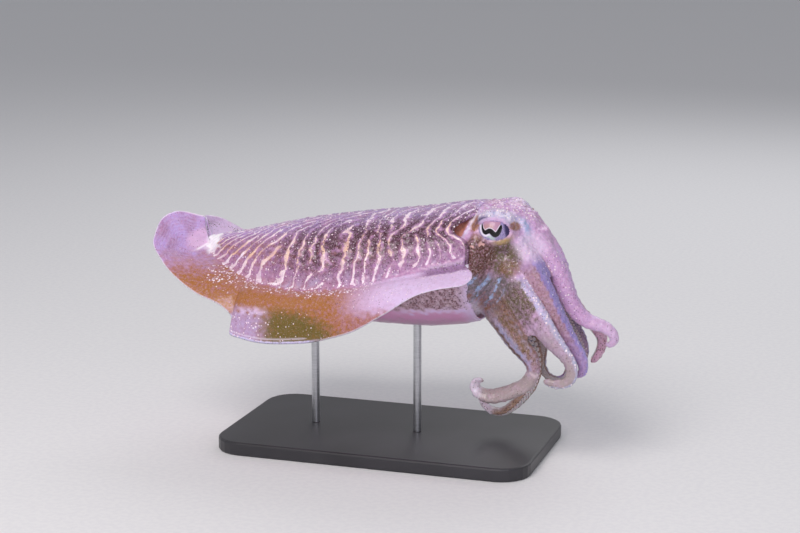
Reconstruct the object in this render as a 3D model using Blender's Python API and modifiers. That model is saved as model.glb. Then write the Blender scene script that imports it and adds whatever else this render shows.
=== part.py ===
"""A common cuttlefish at life size, in a swimming pose, held over a plain display stand.

The animal is laid out in its own frame, in millimetres: +X towards the head, +Y to its left, +Z up,
with the origin in the middle of the mantle opening. The finished pieces are moved over the stand,
whose base stands on z = 0 and is centred on the origin, and are written in metres.
"""

import math
from dataclasses import dataclass

import bmesh
import bpy
import numpy as np
from mathutils import Vector

MM = 0.001
SEAM = 0.3

# The animal's place over the stand
ANIMAL_X = 58.0
ANIMAL_Z = 142.0

# Mantle: half width, back, belly and the level of its widest line, at stations from the opening to the tip
MANTLE_TIP = -204.0
MANTLE_FRONT = 13.0
MANTLE_STATIONS = (14, 0, -30, -70, -110, -145, -172, -192, -204)
MANTLE_HALF_WIDTH = (45, 48, 52, 54, 51, 42, 29, 15, 0)
MANTLE_BACK = (44, 42.5, 37.5, 32, 26, 18.5, 11.8, 8, 5)
MANTLE_BELLY = (-42, -45.5, -48.5, -47.5, -42.5, -33, -20, -7, 3)
MANTLE_SIDE_LEVEL = (6, 2, -6, -17, -23, -21, -14, -5, 4)
BACK_SQUARENESS = 2.3
BELLY_SQUARENESS = 2.1
MANTLE_COLUMNS = 30
MANTLE_ROWS = 25
POCKET_FLOOR = -9.0
POCKET_FLOOR_SHARE = 0.84
POCKET_MOUTH_SHARE = 0.90
LIP_SHARE = 0.955
LIP_ROUNDING = 2.5
POCKET_BACK_SET = 12.0
POCKET_ANGLE = math.radians(43)
POCKET_SPREAD = math.radians(18)

# Fins: at stations along the root, from just behind the mantle's margin to its tip, the place of the
# fin's edge, how far out the fin stays level before it bends, and how much it is arched.
RIGHT_FIN = (
    (-0.045, 20, -60, 4, 0.5, 0.0),
    (-0.02, 22, -68, 2, 0.5, 0.0),
    (0.01, 18, -75, -1.5, 0.5, 0.0),
    (0.07, 4, -80, -4, 0.5, 0.05),
    (0.14, -13, -80.5, -9.5, 0.5, 0.1),
    (0.24, -37, -79, -25, 0.6, 0.2),
    (0.36, -66, -76, -42, 0.7, 0.25),
    (0.49, -102, -72.5, -52.5, 0.7, 0.25),
    (0.62, -133, -69.5, -55.5, 0.7, 0.2),
    (0.70, -150, -67.5, -53.8, 0.7, 0.15),
    (0.745, -159.2, -65.5, -51, 0.6, 0.1),
    (0.77, -159.0, -61.5, -41.5, 0.5, 0.05),
    (0.80, -169.5, -58.5, -32.5, 0.45, 0.0),
    (0.85, -188.5, -55, -26.5, 0.45, 0.0),
    (0.90, -208.5, -49, -16.5, 0.45, 0.0),
    (0.935, -225, -40, -4.5, 0.4, -0.05),
    (0.955, -234.5, -30, 7.5, 0.4, -0.1),
    (0.97, -234.5, -21, 19, 0.4, -0.1),
    (0.985, -227, -13, 25.5, 0.4, -0.05),
    (1.0, -213, -6, 22, 0.5, 0.0),
)
LEFT_FIN = (
    (-0.045, 20, 60, 4, 0.5, 0.0),
    (-0.02, 22, 68, 2, 0.5, 0.0),
    (0.01, 18, 76, -0.5, 0.5, 0.0),
    (0.07, 4, 82, -2, 0.5, 0.05),
    (0.14, -13, 85, -6, 0.5, 0.1),
    (0.24, -37, 87, -15, 0.6, 0.15),
    (0.36, -66, 88, -27, 0.6, 0.15),
    (0.49, -100, 86, -36, 0.6, 0.15),
    (0.62, -128, 80, -34, 0.6, 0.1),
    (0.70, -147, 73.5, -25, 0.6, 0.1),
    (0.745, -158, 69.5, -18, 0.6, 0.05),
    (0.77, -164, 67, -13.5, 0.5, 0.05),
    (0.80, -172, 64, -8.5, 0.5, 0.0),
    (0.85, -184.5, 59, -3.5, 0.45, 0.0),
    (0.90, -195, 51, 1.5, 0.45, 0.0),
    (0.935, -200.5, 41, 8, 0.4, -0.05),
    (0.955, -205, 32, 13.5, 0.4, -0.1),
    (0.97, -209, 22, 17, 0.4, -0.1),
    (0.985, -212.5, 13.5, 19, 0.4, -0.05),
    (1.0, -211, 6, 19.5, 0.5, 0.0),
)
FIN_ROOT_THICKNESS = 4.0
FIN_EDGE_THICKNESS = 1.2
FIN_FRONT = -0.045
FIN_REAR = 0.985
FIN_LENGTHS = (("front", 0.0, 0.34, 10), ("middle", 0.34, 0.70, 9), ("rear", 0.70, 1.0, 17))
FIN_ACROSS = 5
FIN_SEAM = 0.55
FIN_CLEARANCE = 0.7

# Head: sections from the neck to the arm crown. Each has its centre, its lean forwards, its half
# width, and its reach towards the back and the belly.
HEAD_SECTIONS = (
    (-8.7, 3.0, 0.0, 33.0, 27.5, 21.0),
    (4.0, 3.0, 2.0, 37.0, 31.0, 28.0),
    (16.0, 1.5, 7.0, 39.0, 43.0, 32.0),
    (23.5, -1.0, 14.0, 36.5, 47.0, 33.0),
    (30.0, -4.0, 24.0, 31.5, 45.5, 33.5),
    (36.5, -8.0, 33.0, 28.0, 40.5, 32.5),
    (42.0, -12.0, 38.0, 23.0, 32.5, 28.5),
    (45.0, -14.5, 38.0, 14.0, 18.5, 17.0),
)
HEAD_SQUARENESS = 2.35
HEAD_COLUMNS = 28
HEAD_ROWS = 20
MOUTH_CENTRE = (45.0, 0.0, -14.5)
MOUTH_RADIUS = 7.0
LIP_RADIUS = 2.4
BEAK_RADII = (3.6, 4.2, 4.2)
BEAK_STAND_OUT = 1.2

# Eyes
EYE_CENTRE = (27.0, 24.5, 27.0)
EYE_RADIUS = 14.0
EYE_LOOK = (0.10, 1.0, 0.30)
BROW_RADII = (16.2, 15.6, 15.6)
EYE_OPENING_LENGTH = 25.0
EYE_OPENING_HEIGHT = 15.5
EYE_OPENING_DROP = 0.5
LID_THICKNESS = 1.3

# Funnel, in a groove under the head
FUNNEL_START = (-8.7, 0.0, -29.0)
FUNNEL_END = (24.0, 0.0, -33.5)
FUNNEL_START_RADIUS = 7.2
FUNNEL_END_RADIUS = 5.2
FUNNEL_FLATNESS = 1.15
FUNNEL_BORE_SHARE = 0.62
FUNNEL_BORE_DEPTH = 9.0

# Arms. Pitch is the arm's direction in side view, counted from forwards and up, and splay its
# direction towards the animal's left, both at even steps from root to tip. Widths are at even steps too.
STUB_LENGTH = 13.0
STUB_SINK = 12.0
ARM_COLUMNS = 10
ARM_TIP_ROWS = 3
ARM_LENGTHS = (("base", 0.0, 0.40, 7), ("middle", 0.40, 0.70, 8), ("tip", 0.70, 1.0, 9))
ORAL_FLATNESS = 0.55

# Suckers, in two rows down each arm's inner face
SUCKER_SIDES = 6
SUCKER_START = 0.16
SUCKER_END = 0.95
SUCKER_RADIUS_SHARE = 0.125
SUCKER_ROW_SHARE = 0.24
SUCKER_STEP_SHARE = 0.84
SUCKER_LEAST_RADIUS = 0.55
SUCKER_HEIGHT_SHARE = 1.1
SUCKER_SINK_SHARE = 1.0
SUCKER_CUP_SHARE = 0.58

# Display stand
BASE_LENGTH = 236.0
BASE_WIDTH = 136.0
BASE_THICKNESS = 10.0
BASE_CORNER = 22.0
BASE_EDGE = 1.5
ROD_RADIUS = 3.0
ROD_PLACES = {"stand_rod_front": -38.0, "stand_rod_rear": -118.0}
ROD_SIDES = 20

COLOURS = {
    "mantle_skin": ((0.42, 0.27, 0.33), 0.45, 0.0),
    "fin_skin": ((0.62, 0.42, 0.36), 0.4, 0.0),
    "head_skin": ((0.58, 0.42, 0.46), 0.45, 0.0),
    "arm_skin": ((0.66, 0.50, 0.56), 0.45, 0.0),
    "eye": ((0.30, 0.28, 0.36), 0.1, 0.0),
    "beak": ((0.10, 0.05, 0.03), 0.25, 0.0),
    "stand_steel": ((0.60, 0.60, 0.62), 0.3, 1.0),
    "stand_lacquer": ((0.03, 0.03, 0.035), 0.35, 0.0),
}


def smooth_through(stations, values, at):
    """A curve through the values that never swings past them: cubic pieces with harmonic slopes."""
    x, y, at = np.asarray(stations, float), np.asarray(values, float), np.asarray(at, float)
    if x[0] > x[-1]:
        x, y = x[::-1], y[::-1]
    step = np.diff(x)
    rise = np.diff(y) / step
    slope = np.zeros(len(x))
    same_way = rise[1:] * rise[:-1] > 0
    inner = 2 * rise[1:] * rise[:-1] / np.where(same_way, rise[1:] + rise[:-1], 1.0)
    slope[1:-1] = np.where(same_way, inner, 0.0)
    slope[0], slope[-1] = rise[0], rise[-1]
    piece = np.clip(np.searchsorted(x, at) - 1, 0, len(step) - 1)
    t = np.clip((at - x[piece]) / step[piece], 0.0, 1.0)
    start, end = slope[piece] * step[piece], slope[piece + 1] * step[piece]
    return (
        y[piece] * (1 + 2 * t) * (1 - t) ** 2
        + start * t * (1 - t) ** 2
        + y[piece + 1] * t**2 * (3 - 2 * t)
        + end * t**2 * (t - 1)
    )


def unit(vectors):
    """The vectors at length one."""
    return vectors / np.linalg.norm(vectors, axis=-1, keepdims=True)


def material(name):
    """A Principled material of that name, from COLOURS."""
    found = bpy.data.materials.get(name)
    if found:
        return found
    colour, roughness, metallic = COLOURS[name]
    made = bpy.data.materials.new(name)
    made.use_nodes = True
    shader = made.node_tree.nodes["Principled BSDF"]
    shader.inputs["Base Color"].default_value = (*colour, 1.0)
    shader.inputs["Roughness"].default_value = roughness
    shader.inputs["Metallic"].default_value = metallic
    return made


def add_object(name, form, finish, collection, on_animal=True):
    """Turns a bmesh in millimetres into a named object in metres, over the stand if it is of the animal."""
    move = Vector((ANIMAL_X, 0.0, ANIMAL_Z)) if on_animal else Vector((0.0, 0.0, 0.0))
    for vert in form.verts:
        vert.co = (vert.co + move) * MM
    bmesh.ops.recalc_face_normals(form, faces=form.faces)
    if form.calc_volume(signed=True) < 0:
        bmesh.ops.reverse_faces(form, faces=form.faces)
    mesh = bpy.data.meshes.new(name)
    form.to_mesh(mesh)
    form.free()
    mesh.materials.append(material(finish))
    mesh.shade_smooth()
    mesh.set_sharp_from_angle(angle=math.radians(50))
    made = bpy.data.objects.new(name, mesh)
    collection.objects.link(made)
    return made


def closed_form(columns, rows, place):
    """A UV sphere whose vertices are moved to place(row, angle): row 0 and the last row are its poles."""
    form = bmesh.new()
    bmesh.ops.create_uvsphere(form, u_segments=columns, v_segments=rows, radius=1.0)
    sphere = np.array([vert.co for vert in form.verts])
    row = np.rint(np.arccos(np.clip(sphere[:, 2], -1, 1)) / math.pi * rows).astype(int)
    angle = np.arctan2(sphere[:, 1], sphere[:, 0])
    for vert, point in zip(form.verts, place(row, angle)):
        vert.co = point
    return form


def mantle_section(x, angle):
    """The point of the mantle's outer skin at station x, where angle 0 is the back and 90 degrees its left."""
    half_width = smooth_through(MANTLE_STATIONS, MANTLE_HALF_WIDTH, x)
    back = smooth_through(MANTLE_STATIONS, MANTLE_BACK, x)
    belly = smooth_through(MANTLE_STATIONS, MANTLE_BELLY, x)
    level = smooth_through(MANTLE_STATIONS, MANTLE_SIDE_LEVEL, x)
    above = np.cos(angle) >= 0
    power = 2.0 / np.where(above, BACK_SQUARENESS, BELLY_SQUARENESS)
    height = np.where(above, back - level, level - belly)
    y = half_width * np.sign(np.sin(angle)) * np.abs(np.sin(angle)) ** power
    z = level + height * np.sign(np.cos(angle)) * np.abs(np.cos(angle)) ** power
    return y, z


def mantle_margin(angle):
    """How far forwards the mantle's free edge reaches: it is drawn back beside the eyes."""
    from_back = np.abs(np.arctan2(np.sin(angle), np.cos(angle)))
    pocket = np.exp(-(((from_back - POCKET_ANGLE) / POCKET_SPREAD) ** 2))
    return MANTLE_FRONT - POCKET_BACK_SET * pocket


def make_mantle(collection):
    """The mantle, from the floor of the pocket round the neck, over the lip and back to the tip."""
    inside_rows = 3
    outer = MANTLE_ROWS - inside_rows
    share = np.linspace(0.0, 1.0, outer + 1)
    outer_x = MANTLE_FRONT - LIP_ROUNDING - (MANTLE_FRONT - LIP_ROUNDING - MANTLE_TIP) * np.sin(
        share * math.pi / 2
    ) ** 1.25

    def place(row, angle):
        margin = mantle_margin(angle)
        ring = np.clip(row - inside_rows, 0, outer)
        forward_share = (1 - share[ring]) ** 5
        x = outer_x[ring] + (margin - MANTLE_FRONT) * forward_share
        scale = np.ones(len(row))
        x = np.where(row <= 1, POCKET_FLOOR, x)
        x = np.where(row == 2, margin - LIP_ROUNDING / 2, x)
        x = np.where(row == 3, margin, x)
        scale = np.select(
            [row == 0, row == 1, row == 2, row == 3],
            [0.0, POCKET_FLOOR_SHARE, POCKET_MOUTH_SHARE, LIP_SHARE],
            scale,
        )
        y, z = mantle_section(x, angle)
        return np.stack([x, y * scale, z * scale], axis=1)

    return add_object("mantle", closed_form(MANTLE_COLUMNS, MANTLE_ROWS, place), "mantle_skin", collection)


def fin_root(station, side):
    """The line where a fin grows from the mantle's side, just clear of it."""
    x = station * MANTLE_TIP
    half_width = smooth_through(MANTLE_STATIONS, MANTLE_HALF_WIDTH, x)
    level = smooth_through(MANTLE_STATIONS, MANTLE_SIDE_LEVEL, x)
    ahead = smooth_through(MANTLE_STATIONS, MANTLE_HALF_WIDTH, x + 1.0)
    behind = smooth_through(MANTLE_STATIONS, MANTLE_HALF_WIDTH, np.maximum(x - 1.0, MANTLE_TIP))
    outward = unit(np.stack([-(ahead - behind) / 2.0, np.ones_like(x)], axis=-1))
    return np.stack(
        [x + outward[..., 0] * FIN_CLEARANCE, side * (half_width + outward[..., 1] * FIN_CLEARANCE), level],
        axis=-1,
    )


def fin_surface(keys, side, station, across):
    """The middle of the fin: it leaves its root level and curves to its edge."""
    table = np.array(keys)
    place = (station - FIN_FRONT) / (FIN_REAR - FIN_FRONT) * (1 - FIN_FRONT) + FIN_FRONT
    x, y, z, level, arch = (smooth_through(table[:, 0], table[:, k], place) for k in range(1, 6))
    root = fin_root(station, side)
    edge = np.stack([x, y, z], axis=-1)
    bend = root + (edge - root) * level[:, None]
    bend[:, 2] = root[:, 2] + np.linalg.norm(edge - root, axis=1) * arch
    share = across[:, None]
    return root * (1 - share) ** 2 + bend * 2 * share * (1 - share) + edge * share**2


def make_fin_length(name, keys, side, first, last, columns, collection):
    """One length of a fin: an open, triangulated sheet made solid, thick at the root and thin at the edge."""
    form = bmesh.new()
    bmesh.ops.create_grid(form, x_segments=columns, y_segments=FIN_ACROSS, size=0.5)
    flat = np.array([vert.co for vert in form.verts])
    station = first + (last - first) * (flat[:, 0] + 0.5)
    across = flat[:, 1] + 0.5
    for vert, point in zip(form.verts, fin_surface(keys, side, station, across)):
        vert.co = point
    bmesh.ops.triangulate(form, faces=form.faces)
    made = add_object(name, form, "fin_skin", collection)
    group = made.vertex_groups.new(name="Thickness")
    for index, share in enumerate(1 - across):
        group.add([index], float(share), "REPLACE")
    solid = made.modifiers.new("Thickness", "SOLIDIFY")
    solid.thickness = FIN_ROOT_THICKNESS * MM
    solid.offset = 0.0
    solid.use_even_offset = False
    solid.vertex_group = group.name
    solid.thickness_vertex_group = FIN_EDGE_THICKNESS / FIN_ROOT_THICKNESS
    return made


def make_fins(collection):
    """Both fins, each in three lengths that meet face to face."""
    gap = FIN_SEAM / -MANTLE_TIP
    for side, word, keys in ((-1, "right", RIGHT_FIN), (1, "left", LEFT_FIN)):
        for length, first, last, columns in FIN_LENGTHS:
            start = FIN_FRONT + first * (FIN_REAR - FIN_FRONT) + (gap if first else 0.0)
            end = FIN_FRONT + last * (FIN_REAR - FIN_FRONT)
            make_fin_length(f"fin_{word}_{length}", keys, side, start, end, columns, collection)


def head_point(row, angle):
    """The head's skin: leaning sections from the neck to the crown, squarer below than above."""
    stations = np.linspace(0.0, 1.0, len(HEAD_SECTIONS))
    keys = np.array(HEAD_SECTIONS)
    share = np.clip((row - 1) / (HEAD_ROWS - 2), 0.0, 1.0)
    x, z, lean, half_width, up, down = (smooth_through(stations, keys[:, k], share) for k in range(6))
    lean = np.radians(lean)
    scale = np.where((row == 0) | (row == HEAD_ROWS), 0.0, 1.0)
    above = np.cos(angle) >= 0
    power = np.where(above, 1.0, 2.0 / HEAD_SQUARENESS)
    height = np.where(above, up, down) * np.sign(np.cos(angle)) * np.abs(np.cos(angle)) ** power * scale
    across = half_width * np.sign(np.sin(angle)) * np.abs(np.sin(angle)) ** power * scale
    return np.stack([x + height * np.sin(lean), across, z + height * np.cos(lean)], axis=1)


def keep_largest(obj):
    """Leaves only the object's largest closed surface."""
    form = bmesh.new()
    form.from_mesh(obj.data)
    left = set(form.verts)
    shells = []
    while left:
        reached = [left.pop()]
        shell = set(reached)
        while reached:
            for edge in reached.pop().link_edges:
                for vert in edge.verts:
                    if vert in left:
                        left.discard(vert)
                        shell.add(vert)
                        reached.append(vert)
        shells.append(shell)
    shells.sort(key=len)
    scraps = [vert for shell in shells[:-1] for vert in shell]
    if scraps:
        bmesh.ops.delete(form, geom=scraps, context="VERTS")
    form.to_mesh(obj.data)
    form.free()


def boolean(obj, operation, pieces, solver="EXACT"):
    """Joins the closed pieces to obj, or cuts them from it, in one go, and removes them."""
    held = bpy.data.collections.new(obj.name + "_pieces")
    bpy.context.scene.collection.children.link(held)
    for piece in pieces:
        held.objects.link(piece)
        for other in piece.users_collection:
            if other != held:
                other.objects.unlink(piece)
    modifier = obj.modifiers.new("Fused", "BOOLEAN")
    modifier.operation = operation
    modifier.operand_type = "COLLECTION"
    modifier.collection = held
    modifier.solver = solver
    with bpy.context.temp_override(object=obj, active_object=obj):
        bpy.ops.object.modifier_apply(modifier=modifier.name)
    for piece in list(held.objects):
        bpy.data.objects.remove(piece)
    bpy.data.collections.remove(held)
    keep_largest(obj)


def eye_axis(side):
    """The way an eye looks, out of the side of the head."""
    return Vector((EYE_LOOK[0], side * EYE_LOOK[1], EYE_LOOK[2])).normalized()


def eye_frame(side):
    """The eye's centre and the directions it looks in, forwards along its opening and upwards."""
    axis = eye_axis(side)
    ahead = (Vector((1, 0, 0)) - axis * axis.x).normalized()
    above = Vector((0, 0, 1)) - axis * axis.z
    above = (above - ahead * above.dot(ahead)).normalized()
    return Vector((EYE_CENTRE[0], side * EYE_CENTRE[1], EYE_CENTRE[2])), axis, ahead, above


def eye_ball(name, side, radii, collection):
    """A ball at the eye's place, with its pole on the eye's axis."""
    centre, axis, ahead, above = eye_frame(side)
    form = bmesh.new()
    bmesh.ops.create_uvsphere(form, u_segments=16, v_segments=10, radius=1.0)
    for vert in form.verts:
        x, y, z = vert.co
        vert.co = centre + ahead * x * radii[0] + above * y * radii[2] + axis * z * radii[1]
    return add_object(name, form, "eye", collection)


def eye_opening(side, collection):
    """An oval prism through the skin in front of the eye."""
    centre, axis, ahead, above = eye_frame(side)
    form = bmesh.new()
    bmesh.ops.create_cone(form, cap_ends=True, segments=18, radius1=0.5, radius2=0.5, depth=1.0)
    for vert in form.verts:
        x, y, z = vert.co
        flat = ahead * x * EYE_OPENING_LENGTH + above * (y * EYE_OPENING_HEIGHT - EYE_OPENING_DROP)
        vert.co = centre + flat + axis * (z + 0.5) * 2 * EYE_RADIUS
    return add_object("opening", form, "head_skin", collection)


def eye_lids(side, collection):
    """A closed oval ring round the eye's opening, lying on the ball's dome."""
    centre, axis, ahead, above = eye_frame(side)
    bpy.ops.mesh.primitive_torus_add(
        major_segments=18, minor_segments=5, major_radius=1.0, minor_radius=0.1
    )
    ring = bpy.context.object
    form = bmesh.new()
    form.from_mesh(ring.data)
    bpy.data.objects.remove(ring)
    for vert in form.verts:
        flat = Vector((vert.co.x, vert.co.y, 0.0))
        off = flat.length - 1.0
        flat = flat.normalized()
        across = Vector((flat.x * EYE_OPENING_LENGTH / 2, flat.y * EYE_OPENING_HEIGHT / 2, 0.0))
        across += flat * (off / 0.1 + 0.55) * LID_THICKNESS
        depth = math.sqrt(max((EYE_RADIUS + 1.2) ** 2 - across.length_squared, 0.0))
        lift = depth + vert.co.z / 0.1 * LID_THICKNESS
        vert.co = centre + ahead * across.x + above * (across.y - EYE_OPENING_DROP) + axis * lift
    return add_object("lids", form, "head_skin", collection)


def mouth_frame():
    """The middle of the arm crown and the way it faces."""
    lean = math.radians(HEAD_SECTIONS[-1][2])
    return Vector(MOUTH_CENTRE), Vector((math.cos(lean), 0.0, -math.sin(lean)))


def mouth_lips(collection):
    """The round lips in the middle of the arm crown."""
    centre, ahead = mouth_frame()
    bpy.ops.mesh.primitive_torus_add(
        major_segments=14, minor_segments=6, major_radius=MOUTH_RADIUS, minor_radius=LIP_RADIUS
    )
    ring = bpy.context.object
    form = bmesh.new()
    form.from_mesh(ring.data)
    bpy.data.objects.remove(ring)
    bmesh.ops.rotate(form, verts=form.verts, matrix=ahead.to_track_quat("Z", "Y").to_matrix())
    bmesh.ops.translate(form, verts=form.verts, vec=centre + ahead * 0.6)
    return add_object("lips", form, "head_skin", collection)


def beak_form(name, clearance, collection):
    """The beak's blunt point between the lips, or the room it needs."""
    centre, ahead = mouth_frame()
    form = bmesh.new()
    bmesh.ops.create_uvsphere(form, u_segments=12, v_segments=8, radius=1.0)
    for vert in form.verts:
        x, y, z = vert.co
        sharpness = 1.0 - 0.35 * max(z, 0.0)
        vert.co = (
            (BEAK_RADII[0] + clearance) * x * sharpness,
            (BEAK_RADII[1] + clearance) * y,
            (BEAK_RADII[2] + clearance) * z,
        )
    bmesh.ops.rotate(form, verts=form.verts, matrix=ahead.to_track_quat("Z", "Y").to_matrix())
    bmesh.ops.translate(form, verts=form.verts, vec=centre + ahead * BEAK_STAND_OUT)
    return add_object(name, form, "beak", collection)


@dataclass(frozen=True)
class Arm:
    """One arm: where it leaves the crown, its length and widths, and how it bends and turns."""

    side: int
    rank: int
    root: tuple
    length: float
    widths: tuple
    depth_share: float
    pitch: tuple
    splay: tuple
    roll: tuple

    @property
    def name(self):
        return f"arm_{'left' if self.side > 0 else 'right'}_{self.rank}"

    def tangent(self, share):
        steps = np.linspace(0.0, 1.0, len(self.pitch))
        pitch = np.radians(smooth_through(steps, self.pitch, share))
        splay = np.radians(smooth_through(steps, self.splay, share))
        return np.stack(
            [np.cos(splay) * np.cos(pitch), np.sin(splay), np.cos(splay) * np.sin(pitch)], axis=-1
        )

    def centre(self, share):
        """The arm's centre line, by adding up its direction from the root. Below 0 it runs straight back."""
        fine = np.linspace(0.0, 1.0, 241)
        way = self.tangent(fine)
        run = np.cumsum((way[1:] + way[:-1]) / 2 * self.length / 240, axis=0)
        line = np.array(self.root) + np.concatenate([np.zeros((1, 3)), run])
        inside = np.stack([np.interp(share, fine, line[:, k]) for k in range(3)], axis=-1)
        return inside + np.minimum(share, 0.0)[..., None] * self.length * way[0]

    def frame(self, share):
        """The arm's direction, its inner (oral) direction and its sideways direction."""
        way = self.tangent(np.clip(share, 0.0, 1.0))
        left = np.array([0.0, 1.0, 0.0])
        level = unit(left - way * (way @ left)[..., None])
        rise = np.cross(way, level)
        roll = np.radians(np.interp(share, (0.0, 0.5, 1.0), self.roll))[..., None]
        oral = -self.side * np.cos(roll) * level + np.sin(roll) * rise
        return way, oral, np.cross(way, oral)

    def width(self, share):
        return smooth_through(np.linspace(0.0, 1.0, len(self.widths)), self.widths, share)

    def skin(self, share, angle, scale):
        """The arm's skin: an oval section that is flatter on its inner face."""
        _, oral, sideways = self.frame(share)
        half = (self.width(share) / 2 * scale)[..., None]
        inner = np.cos(angle)
        flat = np.where(inner > 0, ORAL_FLATNESS, 1.0) * self.depth_share
        return (
            self.centre(share) + oral * half * (inner * flat)[..., None] + sideways * half * np.sin(angle)[..., None]
        )

    def length_form(self, first, last, rows, pointed):
        """A closed length of the arm, with flat ends or a rounded tip."""
        stations = np.linspace(first, last, rows - 1)
        scale = np.ones(rows - 1)
        if pointed:
            scale[-ARM_TIP_ROWS:] = np.cos(np.linspace(0.25, 1.35, ARM_TIP_ROWS))
        stations = np.concatenate([[first], stations, [last + (0.006 if pointed else 0.0)]])
        scale = np.concatenate([[0.0], scale, [0.0]])
        return closed_form(
            ARM_COLUMNS, rows, lambda row, angle: self.skin(stations[row], angle, scale[row])
        )

    def sucker_places(self):
        """Shares of the length where a pair of suckers sits, closer together as the arm narrows."""
        places, share = [], SUCKER_START
        while share < SUCKER_END:
            places.append(share)
            share += SUCKER_STEP_SHARE * float(self.width(np.array(share))) / self.length
        return places


ARMS = (
    Arm(-1, 1, (53, -9, 17.5), 98, (16.5, 15.7, 15, 14.3, 13.5, 12.3, 11, 8.8, 5.5), 0.98,
        (-46, -51, -59, -69, -61, -38, -13, -48, -210), (-2, -4, -4, -1, 0, 0, 0, 0, 0), (-70, -78, -85)),
    Arm(-1, 2, (46, -24, 12), 103, (16, 15.3, 13.4, 10, 4.5), 0.9,
        (-49, -55, -59, -63, -60, -59, -56, -83, -243), (-2, -8, -8, -2, 2, 4, 4, -1, 1), (-25, -25, -40)),
    Arm(-1, 3, (36, -29, -1), 110, (18, 18.6, 18.4, 17.3, 14.5, 10.5, 8, 6.5, 4.5), 0.62,
        (-51, -51, -53, -52, -50, -47, -82, -167, -199), (-13, -12, -9, -5, -1, 1, -1, 5, 10), (25, 20, 10)),
    Arm(-1, 4, (17.5, -15, -26.5), 127, (21, 21.5, 21.5, 18.5, 12.5, 12, 12.5, 10, 5.5), 0.55,
        (-42, -43, -46, -45, -104, -150, -162, -209, -406), (-16, -18, -14, -8, 2, 5, 5, 7, -1), (40, 45, 60)),
    Arm(1, 1, (53, 9, 16), 103, (16.5, 15.5, 14.5, 13.5, 12, 10.5, 9.5, 8.5, 6), 0.98,
        (-46, -62, -71, -70, -55, -41, -51, -107, -134), (2, 4, 4, 2, -1, 1, -3, -3, 0), (-70, -78, -85)),
    Arm(1, 2, (43, 23, 7), 96, (14.5, 14.2, 13.8, 13, 12, 10.8, 9.8, 8.5, 6), 0.85,
        (-59, -59, -62, -64, -62, -58, -61, -89, -139), (10, 7, 3, -2, -8, -10, -3, 1, -1), (-25, -25, -20)),
    Arm(1, 3, (34, 29.5, -7), 111, (16.5, 16.4, 14.5, 12, 9, 7, 6, 5.2, 4), 0.6,
        (-62, -70, -71, -79, -90, -94, -48, 20, 115), (9, 4, 0, -3, -6, -8, -10, -10, -8), (25, 15, 0)),
    Arm(1, 4, (19, 15, -28), 129, (19, 19, 18.5, 16.5, 13.5, 12.5, 12, 10.5, 7), 0.6,
        (-57, -58, -57, -70, -97, -124, -142, -211, -275), (8, 3, 0, -1, -3, -6, -8, -5, -5), (50, 65, 80)),
)


def sucker(arm, share, row_side, collection):
    """One sucker: a short cup on the arm's inner face, wider at its foot, with its root sunk in."""
    at = np.array([share])
    half = arm.width(at)[0] / 2
    radius = max(SUCKER_RADIUS_SHARE * 2 * half, SUCKER_LEAST_RADIUS)
    _, oral, sideways = (Vector(v[0]) for v in arm.frame(at))
    lean = math.asin(SUCKER_ROW_SHARE * 2) * row_side
    surface = Vector(arm.skin(at, np.array([lean]), np.ones(1))[0])
    up = (oral + sideways * 0.25 * row_side).normalized()
    height, sink = radius * SUCKER_HEIGHT_SHARE, radius * SUCKER_SINK_SHARE
    form = bmesh.new()
    bmesh.ops.create_cone(
        form, cap_ends=True, segments=SUCKER_SIDES, radius1=radius * 0.8, radius2=radius, depth=height + sink
    )
    form.faces.ensure_lookup_table()
    rim = max(form.faces, key=lambda face: face.calc_center_median().z)
    inner = bmesh.ops.inset_region(form, faces=[rim], thickness=radius * (1 - SUCKER_CUP_SHARE))
    del inner
    bmesh.ops.translate(form, verts=rim.verts, vec=Vector((0, 0, -height * 0.45)))
    bmesh.ops.translate(form, verts=form.verts, vec=Vector((0, 0, (height - sink) / 2)))
    bmesh.ops.rotate(form, verts=form.verts, matrix=up.to_track_quat("Z", "Y").to_matrix())
    bmesh.ops.translate(form, verts=form.verts, vec=surface)
    return add_object("sucker", form, "arm_skin", collection)


def make_arm(arm, with_suckers, collection):
    """An arm in three lengths, with its suckers fused to the length they grow from."""
    stub = STUB_LENGTH / arm.length
    gap = SEAM / arm.length
    for word, first, last, rows in ARM_LENGTHS:
        start = stub + (1 - stub) * first + gap
        end = stub + (1 - stub) * last
        form = arm.length_form(start, end, rows, word == "tip")
        made = add_object(f"{arm.name}_{word}", form, "arm_skin", collection)
        if not with_suckers:
            continue
        clear = 1.3 * SUCKER_RADIUS_SHARE * float(arm.width(np.array(start))) / arm.length
        pieces = [
            sucker(arm, share, row_side, collection)
            for share in arm.sucker_places()
            if start + clear < share < end - clear
            for row_side in (-1, 1)
        ]
        if pieces:
            boolean(made, "UNION", pieces, "MANIFOLD")


def make_head(collection):
    """The head with its brows, lids, lips and the eight short roots of the arms, hollowed for the eyes."""
    head = add_object(
        "head", closed_form(HEAD_COLUMNS, HEAD_ROWS, head_point), "head_skin", collection
    )
    roots = []
    for arm in ARMS:
        form = arm.length_form(-STUB_SINK / arm.length, STUB_LENGTH / arm.length, 5, False)
        roots.append(add_object("root", form, "arm_skin", collection))
    brows = [eye_ball("brow", side, BROW_RADII, collection) for side in (-1, 1)]
    lids = [eye_lids(side, collection) for side in (-1, 1)]
    boolean(head, "UNION", [*roots, *brows, *lids, mouth_lips(collection)], "MANIFOLD")
    room = (EYE_RADIUS + SEAM,) * 3
    sockets = [eye_ball("socket", side, room, collection) for side in (-1, 1)]
    openings = [eye_opening(side, collection) for side in (-1, 1)]
    groove = funnel_form("groove", SEAM + 0.1, False, collection)
    mouth = beak_form("mouth", SEAM, collection)
    boolean(head, "DIFFERENCE", [*sockets, *openings, groove, mouth], "MANIFOLD")
    return head


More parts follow.
